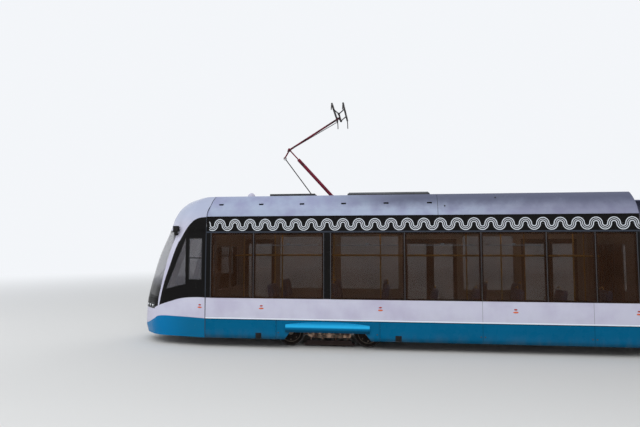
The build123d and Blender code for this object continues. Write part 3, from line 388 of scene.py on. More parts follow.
# Glazing.
# Flat panes of dark tinted glass, bonded flush into the wall on a black border.
# The windscreen is clear, but for a printed black foot and a black strip along its top.
side_glass = Finish("side_glass", 0.04, Alpha=0.55, Specular_IOR_Level=0.1)
smear = side_glass.noise(2.2, 5.0)
side_glass.paint(smear.mix((0.012, 0.005, 0.002), (0.050, 0.021, 0.010)), smear.spread(0.3, 0.8, 0.02, 0.09))
dress(side_glass, "front_glass", "middle_glass", "rear_glass")

screen_glass = Finish("screen_glass", 0.03, Specular_IOR_Level=0.3)
print_foot = screen_glass.level.spread(1.28, 1.58, 1.0, 0.0)
printed = print_foot.math("MAXIMUM", screen_glass.level.over(2.655, 0.01))
clear = screen_glass.noise(2.0).mix((0.18, 0.18, 0.21), (0.34, 0.34, 0.38))
screen_glass.paint(
    printed.mix(clear, BLACK), screen_glass.noise(3.0).spread(0.3, 0.8, 0.02, 0.08),
    Alpha=printed.math("MULTIPLY_ADD", 0.68, 0.30),
)
dress(screen_glass, "windscreen")
cab_glass = mottled(
    "cab_glass", (2.5,), (0.15, 0.155, 0.18), (0.30, 0.31, 0.36), 0.03, Alpha=0.30, Specular_IOR_Level=0.2
)


# Doors.
# Black framed leaves with rubber edges and a tall pane each, on the right side only.
door_paint = mottled(
    "door_paint", (3.0, 5.0), (0.012, 0.013, 0.016), (0.035, 0.036, 0.040), 0.35, (6.0, 0.25, 0.5), Coat_Weight=0.3
)
dress(door_paint, "front_doors", "rear_doors")


# Roof.
# A grey walkway deck between white side fairings that hide the equipment, and the cab's roof cap.
# Soot from the pantograph darkens the fairings' tops, and the equipment boxes are dark grey.
ROOF_WHITE, ROOF_DULL, ROOF_FADED = (0.36, 0.42, 0.56), (0.30, 0.32, 0.48), (0.20, 0.19, 0.28)
ROOF_SOOTY, ROOF_JOINT = (0.10, 0.11, 0.17), (0.03, 0.035, 0.045)
DECK_GREY, CEILING_WHITE = (0.16, 0.17, 0.18), (0.62, 0.63, 0.63)
FAIRING_JOINT = 6.527
roof_paint = Finish("roof_paint", 0.4, Specular_IOR_Level=0.2)
height, ahead = roof_paint.level, roof_paint.ahead
soot = roof_paint.noise(2.5, 6.0)
sooty = (height + (soot - 0.5) * 0.25).spread(3.02, 3.40, 0.0, 0.95) * ahead.spread(7.0, 9.6, 1.0, 0.0)
roof_colour = soot.spread(0.35, 0.75).mix(ROOF_WHITE, ROOF_DULL)
roof_colour = ahead.spread(3.6, 7.2, 0.62, 0.0).mix(roof_colour, ROOF_FADED)
roof_colour = sooty.mix(roof_colour, ROOF_SOOTY)
roof_colour = ahead.line(FAIRING_JOINT, 0.005, 0.003).mix(roof_colour, ROOF_JOINT)
on_deck = roof_paint.aside.under(1.17, 0.01) * height.band(2.95, 3.04, 0.01)
roof_colour = on_deck.mix(roof_colour, DECK_GREY)
roof_colour = height.under(2.9, 0.01).mix(roof_colour, CEILING_WHITE)
roof_paint.paint(roof_colour, soot.spread(0.3, 0.8, 0.25, 0.5), roof_paint.noise(2.0, 2.0))
dress(roof_paint, "front_roof", "middle_roof", "rear_roof")

unit_paint = Finish("unit_paint", 0.55)
unit_top = unit_paint.noise(3.0, 6.0).spread(0.3, 0.8).mix((0.06, 0.066, 0.074), (0.14, 0.145, 0.15))
unit_colour = unit_paint.facing_up().spread(0.2, 0.8).mix((0.014, 0.015, 0.018), unit_top)
unit_paint.paint(unit_colour, unit_paint.noise(8.0).spread(0.3, 0.8, 0.45, 0.75), unit_paint.noise(30.0), 0.0008)
dress(unit_paint, "front_roof_units", "rear_roof_units")


# Cab and tail shells.
# Moulded glass-fibre ends: a white dome that runs down into the screen pillars, a black side zone and a blue base.
# Screen, side panes and lamp lenses lie flush in the same form, and the bumper is a panel of its own.

# Colour borders, each a row of (place, level) points
BASE_TOP = ((11.84, 0.64), (12.58, 0.658), (13.04, 0.655), (13.25, 0.567), (13.5, 0.45), (13.75, 0.385))
BAND_TOP = ((11.84, 1.115), (12.1, 1.115), (12.45, 1.085), (12.78, 1.0), (13.03, 0.92), (13.315, 0.80))
DOME_FOOT = ((11.84, 2.99), (12.10, 2.956), (12.27, 2.84), (12.42, 2.66), (12.50, 2.535), (12.575, 2.42))
# and each a row of (level, place) points
PILLAR_BACK = ((0.80, 13.11), (0.945, 13.086), (1.389, 12.985), (1.84, 12.825), (2.336, 12.630), (2.697, 12.415))
SHELL_BACK = ((0.20, 11.84), (2.95, 11.84), (3.26, 11.77), (3.41, 11.727), (3.49, 11.704))
# Level, back, front, half width at the back, corner depth
NOSE_ROWS = (
    (0.20, 11.84, 13.70, 1.245, 0.57),
    (0.42, 11.84, 13.75, 1.25, 0.57),
    (0.64, 11.84, 13.745, 1.25, 0.57),
    (1.00, 11.84, 13.715, 1.25, 0.57),
    (1.42, 11.84, 13.61, 1.25, 0.57),
    (2.07, 11.84, 13.40, 1.25, 0.57),
    (2.76, 11.84, 13.07, 1.25, 0.57),
    (3.04, 11.84, 12.95, 1.245, 0.57),
    (3.26, 11.77, 12.78, 1.175, 0.52),
    (3.41, 11.727, 12.52, 1.085, 0.43),
    (3.49, 11.704, 12.18, 0.99, 0.26),
)
NOSE_BACK, NOSE_FOOT, NOSE_HALF = 11.84, 0.20, 1.25
SIDE_TAPER, CORNER_ROUND = 0.194, 1.4
NOSE_STEPS = (14, 8, 4, 10, 8)
CAP_SKIN, CAP_FOOT = 0.004, 2.62
SHELL_THICK, PANE_THICK, SCREEN_THICK = 0.035, 0.008, 0.012
SCREEN_LOW, SCREEN_HIGH, SCREEN_HALF_LOW, SCREEN_HALF_HIGH = 1.06, 2.69, 0.965, 1.0
LAMP_LOW, LAMP_HIGH, LAMP_IN, LAMP_OUT = 0.80, 0.93, 0.48, 0.90
TAIL_LOW, TAIL_HIGH, TAIL_HALF = 1.30, 2.50, 0.80
QUARTER_PANE = ((12.39, 2.50), (12.90, 1.29), (12.38, 1.42))
SLIDING_PANE = ((11.96, 1.53), (12.29, 1.53), (12.29, 2.49), (11.96, 2.49))
BODY_ROWS, BUMPER_ROWS = (0.64, 3.49, 76), (NOSE_FOOT, 0.64, 18)


def border(along, points):
    """Where a colour border lies, from a few points joined by a smooth line."""
    finish = along.finish
    start, end = points[0][0], points[-1][0]
    low, high = min(value for _, value in points), max(value for _, value in points)
    curve = finish.material.node_tree.nodes.new("ShaderNodeFloatCurve")
    line = curve.mapping.curves[0]
    places = [((place - start) / (end - start), (value - low) / (high - low)) for place, value in points]
    line.points[0].location, line.points[1].location = places[0], places[-1]
    for place in places[1:-1]:
        line.points.new(*place)
    curve.mapping.update()
    share = (along - start).math("DIVIDE", end - start, clamp=True)
    finish.material.node_tree.links.new(share.socket, curve.inputs["Value"])
    return Field(finish, curve.outputs[0]).math("MULTIPLY_ADD", high - low, low)


shell_paint = Finish("shell_paint", 0.25, Specular_IOR_Level=0.1)
height, ahead = shell_paint.level, shell_paint.ahead
pillar = ahead.over(border(height, PILLAR_BACK)) * shell_paint.aside.over(0.964)
black_zone = height.over(border(ahead, BAND_TOP)) * height.under(border(ahead, DOME_FOOT)) * (1.0 - pillar)
shell_colour = low_dirt(shell_paint, body_white(shell_paint), 1.0, BODY_DIRT, 0.2)
shell_colour = height.spread(2.6, 3.2, 0.0, 0.7).mix(shell_colour, ROOF_WHITE)
shell_colour = black_zone.mix(shell_colour, BLACK)
# Painted light: the blue grows lighter towards the front of the nose.
shell_blue = ahead.spread(12.1, 13.1).mix(BASE_BLUE, NOSE_LIT_BLUE)
shell_colour = height.under(border(ahead, BASE_TOP)).mix(shell_colour, shell_blue)
shell_colour = ahead.under(border(height, SHELL_BACK) + 0.012, 0.003).mix(shell_colour, ROOF_JOINT)
shell_paint.paint(shell_colour, shell_paint.noise(4.0).spread(0.3, 0.8, 0.16, 0.3))
lamp_glass = mottled(
    "lamp_lens", (30.0,), (0.03, 0.032, 0.034), (0.08, 0.082, 0.085), 0.05, Alpha=0.55, Specular_IOR_Level=0.2
)
red_glass = mottled("tail_lens", (30.0,), (0.42, 0.012, 0.012), (0.60, 0.03, 0.03), 0.12)


def nose_row(level):
    """Back, front, half width and corner depth at a level, on a smooth line through the rows."""
    last = len(NOSE_ROWS) - 1
    number = max(n for n in range(last) if NOSE_ROWS[n][0] <= level + 1e-9)
    low, high = NOSE_ROWS[number], NOSE_ROWS[number + 1]
    before, after = NOSE_ROWS[max(number - 1, 0)], NOSE_ROWS[min(number + 2, last)]
    span = high[0] - low[0]
    share = (level - low[0]) / span
    found = []
    for column in range(1, 5):
        rise = (high[column] - low[column]) / span
        rise_before = (low[column] - before[column]) / (low[0] - before[0]) if number > 0 else rise
        rise_after = (after[column] - high[column]) / (after[0] - high[0]) if number + 1 < last else rise
        start = 0.5 * (rise + rise_before) * span if rise * rise_before > 0 else 0.0
        end = 0.5 * (rise + rise_after) * span if rise * rise_after > 0 else 0.0
        value = (2 * share**3 - 3 * share**2 + 1) * low[column] + (share**3 - 2 * share**2 + share) * start
        found.append(value + (3 * share**2 - 2 * share**3) * high[column] + (share**3 - share**2) * end)
    return found


def nose_place(level, share):
    """A point of the nose's outline, from its back edge at 0 to its middle at 1."""
    back, front, half, depth = nose_row(level)
    lean, slant = math.atan(SIDE_TAPER), math.radians(45)
    corner_x = front - depth
    corner_y = half - SIDE_TAPER * (corner_x - back)
    radius = CORNER_ROUND * depth
    cut_one, cut_two = radius * math.tan((slant - lean) / 2), radius * math.tan(slant / 2)
    side, diagonal = (Vector((math.cos(turn), -math.sin(turn))) for turn in (lean, slant))
    one, two = Vector((corner_x, corner_y)), Vector((front, corner_y - depth))

    def arc(start, heading, turn, part):
        centre = start + radius * Vector((-math.sin(heading), -math.cos(heading)))
        now = heading + turn * part
        return centre + radius * Vector((math.sin(now), math.cos(now)))

    parts = (
        lambda part: Vector((back, half)).lerp(one - side * cut_one, part),
        lambda part: arc(one - side * cut_one, lean, slant - lean, part),
        lambda part: (one + diagonal * cut_one).lerp(two - diagonal * cut_two, part),
        lambda part: arc(two - diagonal * cut_two, slant, slant, part),
        lambda part: Vector((front, corner_y - depth - cut_two)).lerp(Vector((front, 0)), part),
    )
    place = share * sum(NOSE_STEPS)
    for number, steps in enumerate(NOSE_STEPS):
        if place <= steps or number == len(NOSE_STEPS) - 1:
            return parts[number](place / steps)
        place -= steps


def cut(mesh, point, across, near):
    """Cuts every face near a place along one plane."""
    faces = [face for face in mesh.faces if near(face.calc_center_median())]
    around = list({part for face in faces for part in (*face.verts, *face.edges)}) + faces
    bmesh.ops.bisect_plane(mesh, geom=around, plane_co=point, plane_no=across, dist=1e-5)


def face_out(mesh, away):
    """Turns each face of an open shell away from the shell's middle."""
    bmesh.ops.recalc_face_normals(mesh, faces=mesh.faces[:])
    for face in mesh.faces:
        if face.normal.dot(Vector(away(face.calc_center_median()))) < 0:
            face.normal_flip()


def inside_outline(points, x, level):
    """True within a closed outline that turns one way."""
    turns = []
    for start, end in zip(points, points[1:] + points[:1]):
        turns.append((end[0] - start[0]) * (level - start[1]) - (end[1] - start[1]) * (x - start[0]))
    return all(turn > 0 for turn in turns) or all(turn < 0 for turn in turns)


def in_screen(place):
    level = place.z - RAIL_TOP
    share = (level - SCREEN_LOW) / (SCREEN_HIGH - SCREEN_LOW)
    half = SCREEN_HALF_LOW + share * (SCREEN_HALF_HIGH - SCREEN_HALF_LOW)
    return place.x > 12.5 and SCREEN_LOW < level < SCREEN_HIGH and abs(place.y) < half


def in_tail_window(place):
    return place.x > 12.5 and TAIL_LOW < place.z - RAIL_TOP < TAIL_HIGH and abs(place.y) < TAIL_HALF


def in_lamp(place):
    return place.x > 12.9 and LAMP_LOW < place.z - RAIL_TOP < LAMP_HIGH and LAMP_IN < abs(place.y) < LAMP_OUT


def in_side_pane(place):
    found = [inside_outline(points, place.x, place.z - RAIL_TOP) for points in (QUARTER_PANE, SLIDING_PANE)]
    return abs(place.y) > 0.8 and any(found)


def in_cab_panel(place):
    return not (in_screen(place) or in_lamp(place) or in_side_pane(place))


def in_tail_panel(place):
    return not (in_tail_window(place) or in_lamp(place))


def in_bumper(place):
    """A bumper keeps the whole of its grid."""
    return True


def near_front(place):
    return place.x > 12.5 and 0.7 < place.z < 2.85


def near_side(place):
    return place.x < 13.0 and abs(place.y) > 0.8 and 1.1 < place.z < 2.7


def near_lamp(place):
    return place.x > 12.9 and 0.7 < place.z < 1.05


def form(name, mesh, finish, sharp=40):
    """Makes an object of a mesh, smooth but for its sharp edges."""
    data = bpy.data.meshes.new(name)
    mesh.to_mesh(data)
    mesh.free()
    data.materials.append(finish.material)
    data.shade_smooth()
    data.set_sharp_from_angle(angle=math.radians(sharp))
    made = bpy.data.objects.new(name, data)
    bpy.context.scene.collection.objects.link(made)
    return made


def place_piece(name, mesh, body, finish, sharp=40):
    """Makes a piece and fixes it to its body."""
    made = form(name, mesh, finish, sharp)
    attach(made, body)
    return made


def nose_piece(name, keep, finish, thickness, replaced=None, tail=False, rows=BODY_ROWS):
    """One panel of the nose: a grid bent round it, cut along its edges and thickened inwards."""
    low, high, count = rows
    mesh = bmesh.new()
    bmesh.ops.create_grid(mesh, x_segments=88, y_segments=count, size=1)
    for vert in mesh.verts:
        level = low + (vert.co.y + 1) / 2 * (high - low)
        place = nose_place(level, 1 - abs(vert.co.x))
        proud = CAP_SKIN * min(1.0, max(0.0, (level - CAP_FOOT) / 0.1))
        place += Vector((proud, proud if place.y > proud else 0.0))
        vert.co = (place.x, -math.copysign(place.y, vert.co.x), level + RAIL_TOP)
    lean = (SCREEN_HALF_HIGH - SCREEN_HALF_LOW) / (SCREEN_HIGH - SCREEN_LOW)
    for side in (-1, 1):
        if tail:
            cut(mesh, (0, side * TAIL_HALF, 0), (0, 1, 0), near_front)
        else:
            cut(mesh, (0, side * SCREEN_HALF_LOW, SCREEN_LOW + RAIL_TOP), (0, 1, -side * lean), near_front)
        for edge in (LAMP_IN, LAMP_OUT):
            cut(mesh, (0, side * edge, 0), (0, 1, 0), near_lamp)
    for level in (LAMP_LOW, LAMP_HIGH, *((TAIL_LOW, TAIL_HIGH) if tail else (SCREEN_LOW, SCREEN_HIGH))):
        cut(mesh, (0, 0, level + RAIL_TOP), (0, 0, 1), near_front)
    for points in () if tail else (QUARTER_PANE, SLIDING_PANE):
        for start, end in zip(points, points[1:] + points[:1]):
            across = (end[1] - start[1], 0, start[0] - end[0])
            cut(mesh, (start[0], 0, start[1] + RAIL_TOP), across, near_side)
    gone = [face for face in mesh.faces if not keep(face.calc_center_median())]
    bmesh.ops.delete(mesh, geom=gone, context="FACES")
    face_out(mesh, lambda centre: (centre.x - 12.2, centre.y, 0))
    bmesh.ops.solidify(mesh, geom=mesh.faces[:], thickness=thickness)
    if tail:
        bmesh.ops.scale(mesh, vec=(-1, 1, 1), verts=mesh.verts[:])
        bmesh.ops.reverse_faces(mesh, faces=mesh.faces[:])
    made = place_piece(name, mesh, "rear_section" if tail else "front_section", finish)
    if replaced:
        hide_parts(replaced)


nose_piece("cab_panel", in_cab_panel, shell_paint, SHELL_THICK, "cab_shell")
nose_piece("cab_screen", in_screen, screen_glass, SCREEN_THICK, "windscreen")
nose_piece("cab_lamp_lenses", in_lamp, lamp_glass, PANE_THICK, "headlamps")
nose_piece("cab_side_panes", in_side_pane, cab_glass, PANE_THICK)
nose_piece("cab_bumper", in_bumper, shell_paint, SHELL_THICK, "nose_bumper", rows=BUMPER_ROWS)
nose_piece("tail_panel", in_tail_panel, shell_paint, SHELL_THICK, "tail_shell", tail=True)
nose_piece("tail_window", in_tail_window, side_glass, PANE_THICK, tail=True)
nose_piece("tail_lenses", in_lamp, red_glass, PANE_THICK, "tail_lamps", tail=True)
nose_piece(
    "tail_bumper_panel", in_bumper, shell_paint, SHELL_THICK, "tail_bumper", tail=True,
    rows=BUMPER_ROWS,
)


# Cab fittings and gangway frames.
# Moulded grey plastic, grained like most cab trim; the cameras outside have black housings.
trim = mottled("cabin_plastic", (5.0,), (0.14, 0.15, 0.16), (0.24, 0.25, 0.26), 0.6, relief=(220.0, 0.0006))
dress(trim, "driver_desk", "driver_seat", "cab_partition", "front_portal", "middle_portals", "rear_portal")
dark_plastic = mottled(
    "dark_plastic", (9.0,), (0.005, 0.005, 0.005), (0.020, 0.018, 0.018), 0.7, relief=(180.0, 0.0006),
    Specular_IOR_Level=0.15,
)
dress(dark_plastic, "camera_arms")


# Seats and handrails.
# Moulded seat shells with blue cloth, and enamelled steel rails along the aisle.
seat_shell = mottled("seat_shell", (60.0,), (0.04, 0.09, 0.20), (0.09, 0.16, 0.32), 0.6, relief=(400.0, 0.002))
dress(seat_shell, "front_seats", "middle_seats", "rear_seats")
rail_enamel = mottled("rail_enamel", (8.0,), (0.56, 0.35, 0.07), (0.72, 0.50, 0.14), 0.3)
dress(rail_enamel, "front_handrails", "middle_handrails", "rear_handrails")


# Pantograph.
# Steel tubes enamelled crimson and blackened by carbon dust, with bare dark rods and a black collector head.
pantograph_red = Finish("pantograph_red", 0.5, Specular_IOR_Level=0.2)
carbon = pantograph_red.noise(5.0, 6.0)
pantograph_red.paint(
    carbon.spread(0.42, 0.72).mix((0.15, 0.004, 0.022), (0.022, 0.008, 0.010)), carbon.spread(0.3, 0.8, 0.4, 0.7)
)
dress(pantograph_red, "pantograph_base", "pantograph_lower_arm", "pantograph_upper_arm")
sooty_steel = mottled(
    "sooty_steel", (14.0, 5.0), (0.008, 0.007, 0.008), (0.040, 0.034, 0.036), 0.6, (9.0, 0.45, 0.8),
    Specular_IOR_Level=0.2,
)
dress(sooty_steel, "pantograph_coupling_rod", "pantograph_tie_rod", "pantograph_head")


# Window trims, vents, skirt locks and jacking pockets.
# Thin aluminium strips cover the joints of the panes, and a slim rail carries each tip-in vent.
# Below, quarter-turn locks hold the skirts, and black plates line the notches for the jacks.
FACE = 1.2495
LEFT_EDGES = (11.73, 10.71, 9.08, 8.92, 7.27, 5.62, 4.26, 3.27, 2.44)
LEFT_VENTS = ((9.20, 10.59), (7.39, 8.80), (5.74, 7.15), (4.38, 5.50))
RIGHT_EDGES, RIGHT_VENTS = (10.63, 9.08, 8.92, 7.272, 5.64, 4.262), ((9.20, 10.51), (7.39, 8.80), (4.38, 5.52))
MIDDLE_EDGES, MIDDLE_VENTS = (1.74, 0.04, -0.04, -1.74), ((0.16, 1.62), (-1.62, -0.16))
PANE_LOW, PANE_HIGH, VENT_Z = RAIL_TOP + 1.118, RAIL_TOP + 2.612, RAIL_TOP + 2.325
STRIP_HALF, VENT_RAIL, LATCH_HALF = 0.008, 0.012, 0.035
LOCKS_X, LOCK_Z = (10.115, 7.885, 5.66, 5.57, 3.39, 3.30), RAIL_TOP + 0.35
LOCK = ((0, 0.0), (0, 0.015), (0.002, 0.015), (0.003, 0.011), (0.001, 0.008), (0.001, 0.0))
JACKS_X, MIDDLE_JACKS_X, JACK_HALF = (10.58, 7.42), (1.58, -1.58), 0.069
JACK_LOW, JACK_HIGH = RAIL_TOP + 0.205, RAIL_TOP + 0.335
JACK_SIDE = ((1.2350, JACK_LOW), (1.2485, JACK_HIGH), (1.215, JACK_HIGH), (1.205, JACK_LOW))
MIRROR_X, MIRROR_Y = Matrix.Scale(-1, 4, (1, 0, 0)), Matrix.Scale(-1, 4, (0, 1, 0))
BOTH_SIDES = (Matrix(), MIRROR_Y)
trim_metal = mottled(
    "trim_metal", (20.0,), (0.035, 0.040, 0.048), (0.065, 0.07, 0.08), 0.5, Specular_IOR_Level=0.2
)


def slab(outline, low, high, axis="y", edge=0.002, shear=None):
    """An outline drawn out between two places along an axis, with rounded edges."""
    def point(a, b, depth):
        return Vector({"x": (depth, a, b), "y": (a, depth, b), "z": (a, b, depth)}[axis])

    mesh = bmesh.new()
    face = mesh.faces.new([mesh.verts.new(point(a, b, low)) for a, b in outline])
    drawn = bmesh.ops.extrude_face_region(mesh, geom=[face])["geom"]
    moved = [part for part in drawn if isinstance(part, bmesh.types.BMVert)]
    bmesh.ops.translate(mesh, vec=point(0, 0, high - low), verts=moved)
    if shear:
        bmesh.ops.transform(mesh, matrix=shear, verts=mesh.verts[:])
    bmesh.ops.recalc_face_normals(mesh, faces=mesh.faces[:])
    bmesh.ops.bevel(mesh, geom=mesh.edges[:], offset=edge, affect="EDGES", segments=2, profile=0.5, material=-1)
    return mesh


def box(x0, x1, y0, y1, z0, z1, edge=0.002):
    return slab(((x0, y0), (x1, y0), (x1, y1), (x0, y1)), z0, z1, "z", edge)


def turned(profile, centre, axis, steps=20):
    """A profile of (place along the axis, radius) spun once round the axis."""
    mesh = bmesh.new()
    axis = Vector(axis).normalized()
    aside = axis.orthogonal().normalized()
    verts = [mesh.verts.new(Vector(centre) + axis * along + aside * radius) for along, radius in profile]
    edges = [mesh.edges.new(pair) for pair in zip(verts, verts[1:])]
    bmesh.ops.spin(mesh, geom=verts + edges, cent=centre, axis=axis, angle=math.tau, steps=steps, use_merge=True)
    bmesh.ops.remove_doubles(mesh, verts=mesh.verts[:], dist=1e-5)
    bmesh.ops.recalc_face_normals(mesh, faces=mesh.faces[:])
    return mesh


def gather(parts, places=(Matrix(),)):
    """One mesh of several parts, with a copy of them all at each place."""
    whole = bmesh.new()
    for part in parts:
        data = bpy.data.meshes.new("part")
        part.to_mesh(data)
        part.free()
        for place in places:
            copy = data.copy()
            copy.transform(place)
            if place.determinant() < 0:
                copy.flip_normals()
            whole.from_mesh(copy)
            bpy.data.meshes.remove(copy)
        bpy.data.meshes.remove(data)
    return whole


def both_ends(name, parts, finish, places=(Matrix(),)):
    """A piece on the front section, and its mirror image on the rear one."""
    front = gather(parts, places)
    rear = gather([front.copy()], (MIRROR_X,))
    return [
        place_piece(f"front_{name}", front, "front_section", finish),
        place_piece(f"rear_{name}", rear, "rear_section", finish),
    ]


def on_middle(name, parts, finish, places=BOTH_SIDES):
    return place_piece(f"middle_{name}", gather(parts, places), "middle_section", finish)


def trims(edges, vents):
    made = [box(x - STRIP_HALF, x + STRIP_HALF, FACE, FACE + 0.003, PANE_LOW, PANE_HIGH, 0.001) for x in edges]
    for low, high in vents:
        latch = (low + high) / 2
        made.append(box(low, high, FACE, FACE + 0.004, VENT_Z, VENT_Z + VENT_RAIL, 0.0015))
        made.append(box(latch - LATCH_HALF, latch + LATCH_HALF, FACE, FACE + 0.006, VENT_Z + 0.022, VENT_Z + 0.046))
    return made


def pockets(places):
    return [slab(JACK_SIDE, x - JACK_HALF, x + JACK_HALF, "x") for x in places]


both_ends("left_window_trims", trims(LEFT_EDGES, LEFT_VENTS), trim_metal)
both_ends("right_window_trims", trims(RIGHT_EDGES, RIGHT_VENTS), trim_metal, (MIRROR_Y,))
on_middle("window_trims", trims(MIDDLE_EDGES, MIDDLE_VENTS), trim_metal)
locks = [turned(LOCK, (x, 1.2498, LOCK_Z), (0, 1, 0), 16) for x in LOCKS_X]
both_ends("skirt_locks", locks, trim_metal, BOTH_SIDES)
both_ends("jacking_pockets", pockets(JACKS_X), dark_plastic, BOTH_SIDES)
on_middle("jacking_pockets", pockets(MIDDLE_JACKS_X), dark_plastic)


# Marker lamps.
# Two oval reflectors, one over the other, on a small plate screwed to the white band of each section.
MARKERS_X, MIDDLE_MARKERS_X, MARKER_Z = (11.99, 10.515, 7.81, 4.93, 2.46), (1.5, -1.5), RAIL_TOP + 0.912
# Rise, half width and half height of each oval
LENSES, PLATES = ((0.034, 0.036, 0.017), (-0.024, 0.056, 0.018)), ((0.0, 0.064, 0.058),)
marker_red = Finish("marker_lens", 0.2)
ribs = marker_red.ribs(60.0)
marker_colour = marker_red.z.over(MARKER_Z).mix(ribs.mix((0.60, 0.09, 0.03), (0.72, 0.15, 0.05)), (0.36, 0.035, 0.03))
marker_red.paint(marker_colour, bump=ribs, distance=0.0006)
body_enamel = Finish("marker_plate", 0.3, Specular_IOR_Level=0.1)
body_enamel.paint(body_white(body_enamel))


def markers(xs, low, high, shapes):
    made = []
    for x in xs:
        back = max(0.0, x - NOSE_BACK) * SIDE_TAPER
        lean = math.atan(SIDE_TAPER) if back else 0.0
        place = Matrix.Translation((x, FACE - back, MARKER_Z)) @ Matrix.Rotation(-lean, 4, "Z")
        for rise, half, tall in shapes:
            turns = [math.tau * step / 20 for step in range(20)]
            oval = [(half * math.cos(turn), rise + tall * math.sin(turn)) for turn in turns]
            made.append(gather([slab(oval, low, high, "y", 0.0015)], (place,)))
    return made


both_ends("marker_plates", markers(MARKERS_X, 0.0, 0.002, PLATES), body_enamel, BOTH_SIDES)
both_ends("marker_lenses", markers(MARKERS_X, 0.001, 0.006, LENSES), marker_red, BOTH_SIDES)
on_middle("marker_plates", markers(MIDDLE_MARKERS_X, 0.0, 0.002, PLATES), body_enamel)
on_middle("marker_lenses", markers(MIDDLE_MARKERS_X, 0.001, 0.006, LENSES), marker_red)


# Door seals, buttons and thresholds.
# Rubber lips close the leaves on each other and on the frame, and hold each pane.
# A button and a worn steel threshold serve each door.
DOORWAYS = ((10.75, 11.60, 1), (5.76, 7.16, 2), (2.70, 4.10, 2))
DOOR_LOW, DOOR_HIGH, LEAF_GAP, LEAF_FRAME = RAIL_TOP + 0.30, RAIL_TOP + 2.50, 0.006, 0.09
DOOR_PANE_LOW, DOOR_PANE_HIGH, LIP_HALF = DOOR_LOW + 0.23, DOOR_HIGH - 0.12, 0.009
BUTTON = (
    (0, 0.0), (0, 0.034), (0.006, 0.034), (0.007, 0.026), (0.004, 0.024), (0.004, 0.018), (0.0065, 0.016),
    (0.0065, 0.0),
)
door_rubber = mottled(
    "door_rubber", (12.0,), (0.012, 0.012, 0.013), (0.035, 0.035, 0.036), 0.8, Specular_IOR_Level=0.2
)
button_yellow = mottled("button_ring", (50.0,), (0.62, 0.38, 0.03), (0.80, 0.55, 0.07), 0.35)
step_steel = Finish("step_steel", 0.4, Metallic=0.9)
step_steel.paint(step_steel.noise(15.0).mix((0.28, 0.28, 0.28), (0.50, 0.50, 0.49)), bump=step_steel.ribs(25.0))
lips, buttons, steps = [], [], []
for low, high, count in DOORWAYS:
    for x in [low + 0.012, high - 0.012] + [(low + high) / 2] * (count - 1):
        half = 0.018 if low + 0.1 < x < high - 0.1 else 0.011
        lips.append(box(x - half, x + half, -1.2555, -1.22, DOOR_LOW + 0.004, DOOR_HIGH - 0.004, 0.003))
    lips.append(box(low + 0.02, high - 0.02, -1.2545, -1.235, DOOR_LOW - 0.012, DOOR_LOW + 0.012, 0.003))
    width = (high - low - LEAF_GAP * (count - 1)) / count
    for number in range(count):
        start = low + number * (width + LEAF_GAP) + LEAF_FRAME
        end = start + width - 2 * LEAF_FRAME
        for x in (start, end):
            lips.append(box(x - LIP_HALF, x + LIP_HALF, -1.2525, -1.242, DOOR_PANE_LOW, DOOR_PANE_HIGH))
        for z in (DOOR_PANE_LOW, DOOR_PANE_HIGH):
            lips.append(box(start, end, -1.2525, -1.242, z - LIP_HALF, z + LIP_HALF))
        steps.append(box(start, end, -1.2515, -1.246, DOOR_LOW + 0.03, DOOR_LOW + 0.17, 0.001))
    button_x = low + width - 0.045 if count == 2 else low + 0.045
    buttons.append(turned(BUTTON, (button_x, -1.2499, RAIL_TOP + 1.05), (0, -1, 0), 24))
    steps.append(box(low + 0.03, high - 0.03, -1.235, -1.10, RAIL_TOP + 0.360, RAIL_TOP + 0.366, 0.001))
both_ends("door_seals", lips, door_rubber)
both_ends("door_buttons", buttons, button_yellow)
both_ends("door_sills", steps, step_steel)


# Lamps at both ends.
# Spun reflector bowls in a black box behind each flush lens.
LAMP_MIDDLE, LAMP_DEPTH, BOWLS = (LAMP_LOW + LAMP_HIGH) / 2, 0.075, ((0.575, 0.052), (0.69, 0.052), (0.805, 0.048))
# Place along the axis in metres, and share of the bowl's radius
BOWL = (
    (-0.055, 0.0), (-0.05, 0.3), (-0.03, 0.75), (0.0, 1.0), (0.002, 0.94),
    (-0.026, 0.68), (-0.045, 0.28), (-0.03, 0.2), (-0.028, 0.0),
)
chrome = mottled("lamp_chrome", (25.0,), (0.30, 0.31, 0.33), (0.46, 0.47, 0.48), 0.2, Metallic=0.9)


def nose_x(across, level):
    """How far forward the nose's face is, at a distance from the centre line."""
    low, high = 0.0, 1.0
    for _ in range(24):
        middle = (low + high) / 2
        low, high = (middle, high) if nose_place(level, middle).y > across else (low, middle)
    return nose_place(level, low).x


bowls = [
    turned(
        [(along, share * radius) for along, share in BOWL],
        (nose_x(across, LAMP_MIDDLE) - 0.016, across, LAMP_MIDDLE + RAIL_TOP), (1, 0, 0), 24,
    )
    for across, radius in BOWLS
]
both_ends("lamp_bowls", bowls, chrome, BOTH_SIDES)
low, high = RAIL_TOP + LAMP_LOW, RAIL_TOP + LAMP_HIGH
inner, outer = (nose_x(edge, LAMP_MIDDLE) - LAMP_DEPTH for edge in (LAMP_IN, LAMP_OUT))
back = ((inner, LAMP_IN), (outer, LAMP_OUT), (outer - 0.006, LAMP_OUT), (inner - 0.006, LAMP_IN))
housings = [slab(back, low, high, "z", 0.001)]
for edge in (LAMP_IN + 0.004, LAMP_OUT - 0.004):
    front = nose_x(edge, LAMP_MIDDLE) - 0.012
    housings.append(box(front - 0.09, front, edge - 0.003, edge + 0.003, low, high, 0.001))
both_ends("lamp_housings", housings, door_paint, BOTH_SIDES)


